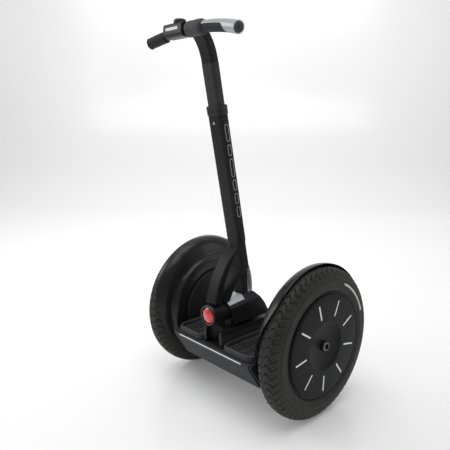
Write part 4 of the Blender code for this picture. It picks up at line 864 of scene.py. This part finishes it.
RIDGES = 26
for side, tag, start in ((1, "left", 0.043), (-1, "right", 0.123)):
    line = [(side * (start - 0.0005), 0.0128), (side * start, 0.0160), (side * (start + 0.002), 0.0172)]
    for k in range(RIDGES + 1):
        x = start + 0.004 + (0.184 - start) * k / RIDGES
        swell = 0.0006 * sin(pi * k / RIDGES)
        ridge = 0.0004 if k % 2 else 0.0
        line.append((side * x, 0.0163 + swell - (ridge if side > 0 else ridge * 0.5)))
    if side > 0:
        line += [(side * 0.1885, 0.0150), (side * 0.1885, 0.0128), (side * 0.1800, 0.0128)]
    else:
        line += [(side * 0.1895, 0.0172), (side * 0.1910, 0.0164), (side * 0.1912, 0.0150),
                 (side * 0.1918, 0.0100), (side * 0.1922, 0.0040), (side * 0.1923, 0.0002)]
    piece_of(tag + "_grip_sleeve", on_bar(line, 48), grip_rubber, "handlebar", "grip_rubber", tag + "_grip", smooth=50)

shell_silver = finish("shell_silver", (0.40, 0.41, 0.43), 0.34, metallic=0.25, gloss=0.6, grain=900, bump=0.04,
                      vary=0.06)
shell_grey = finish("shell_grey", (0.085, 0.086, 0.090), 0.42, grain=500, bump=0.25, vary=0.12)


def thickened(piece, wall):
    """Gives an open skin a wall, inwards."""
    step = piece.modifiers.new("wall", "SOLIDIFY")
    step.thickness = wall
    step.offset = -1


def silver_part(x):
    """The shell wraps the top of the grip, then all of it near the bar's end."""
    share = min(1.0, max(0.0, (x - 0.130) / 0.036))
    share = share * share * (3 - 2 * share)
    return (radians(18 - 107.9 * share), radians(162 + 107.9 * share))


stations = [(0.0435, 0.0167)] + [(0.0455 + 0.1475 * k / 48, 0.0173) for k in range(49)]
stations += [(0.1945, 0.0169), (0.1950, 0.0158), (0.1944, 0.0146), (0.1920, 0.0139), (0.1870, 0.0138)]
shell = piece_of("left_grip_half", on_bar(stations, 48, keep_angles=silver_part), shell_silver, "handlebar",
                 "silver_trim", "left_grip_shell", smooth=50)
thickened(shell, 0.0014)
plug = [(0.1890, 0.0138), (0.1905, 0.0128), (0.1905, 0.0062), (0.1890, 0.0056), (0.1870, 0.0050), (0.1870, 0.0002),
        (0.1860, 0.0002), (0.1860, 0.0138)]
piece_of("left_grip_end", on_bar(plug, 40), shell_grey, "handlebar", "grey_plastic", smooth=30)
stations = [(-0.127 - 0.040 * k / 12, 0.0174) for k in range(13)]
patch = piece_of("right_grip_patch", on_bar(stations, 20, keep_angles=lambda x: (radians(80), radians(165))),
                 shell_grey, "handlebar", "grey_plastic", "right_grip_shell", smooth=50)
thickened(patch, 0.0012)
softened(patch, 0.0006, 2)

dock_low, dock_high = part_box("controller_dock")
dock_plastic = finish("dock_plastic", (0.012, 0.012, 0.0135), 0.36, grain=500, bump=0.15, vary=0.12, worn=0.3)
dock_y, dock_z = (dock_low[1] + dock_high[1]) / 2, (dock_low[2] + dock_high[2]) / 2
dock_line = rounded([(-0.022, dock_low[2] - dock_z), (0.022, dock_low[2] - dock_z), (0.022, dock_high[2] - dock_z),
                     (-0.022, dock_high[2] - dock_z)], [0.012, 0.008, 0.006, 0.009], 8)
dock_at = Matrix.Translation(((dock_low[0] + dock_high[0]) / 2, dock_y, dock_z)) @ Matrix.Rotation(pi / 2, 4, "Z") @ \
    Matrix.Rotation(pi / 2, 4, "X")
dock = piece_of("dock_block", outline_slab(dock_line, dock_high[0] - dock_low[0], dock_at), dock_plastic, "handlebar",
                "black_plastic", "controller_dock")
softened(dock, 0.0030, 4, 45)
label = rounded([(-0.030, -0.0040), (0.026, -0.0040), (0.026, 0.0040), (-0.030, 0.0040)], 0.0012, 3)
label_at = Matrix.Translation(((dock_low[0] + dock_high[0]) / 2, dock_low[1] + 0.0001, dock_z + 0.004)) @ \
    Matrix.Rotation(pi / 2, 4, "X")
label_white = finish("label_white", (0.70, 0.70, 0.70), 0.35, grain=1200, bump=0.03, vary=0.04)
piece_of("dock_label", outline_slab(label, 0.0010, label_at), label_white, "handlebar", "pale_panel")

key_plastic = finish("key_plastic", (0.045, 0.045, 0.048), 0.32, grain=600, bump=0.12, vary=0.12)
key_low, key_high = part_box("key_controller")
key_at = Matrix.Translation(((key_low[0] + key_high[0]) / 2, (key_low[1] + key_high[1]) / 2, key_low[2]))
key_line = [(0.0, 0.0062), (0.0053, 0.0062), (0.0053, 0.0106), (0.0062, 0.0110), (0.0140, 0.0108), (0.0170, 0.0092),
            (0.0182, 0.0070), (0.0182, 0.0040), (0.0176, 0.0034), (0.0185, 0.0028), (0.0185, 0.0), (0.0, 0.0)]
piece_of("key_case", lathe(key_line, 72, key_at, closed=False), key_plastic, "key", "grey_plastic", "key_controller")
button_red = finish("button_red", (0.55, 0.02, 0.02), 0.25, grain=500, bump=0.05, vary=0.1, coat=0.5)
button_line = [(0.0, 0.0119), (0.0024, 0.0118), (0.0040, 0.0113), (0.0048, 0.0104), (0.0050, 0.0090), (0.0050, 0.0075),
               (0.0, 0.0075)]
piece_of("key_cap", lathe(button_line, 48, key_at, closed=False), button_red, "key_button", "red_lens", "key_button",
         smooth=50)

# ---------------------------------------------------------------- parking stand
# A bent steel wire in a small bracket under the left side of the deck.

repaint(dull_steel, "parking_stand")
repaint(chassis_paint, "stand_bracket")
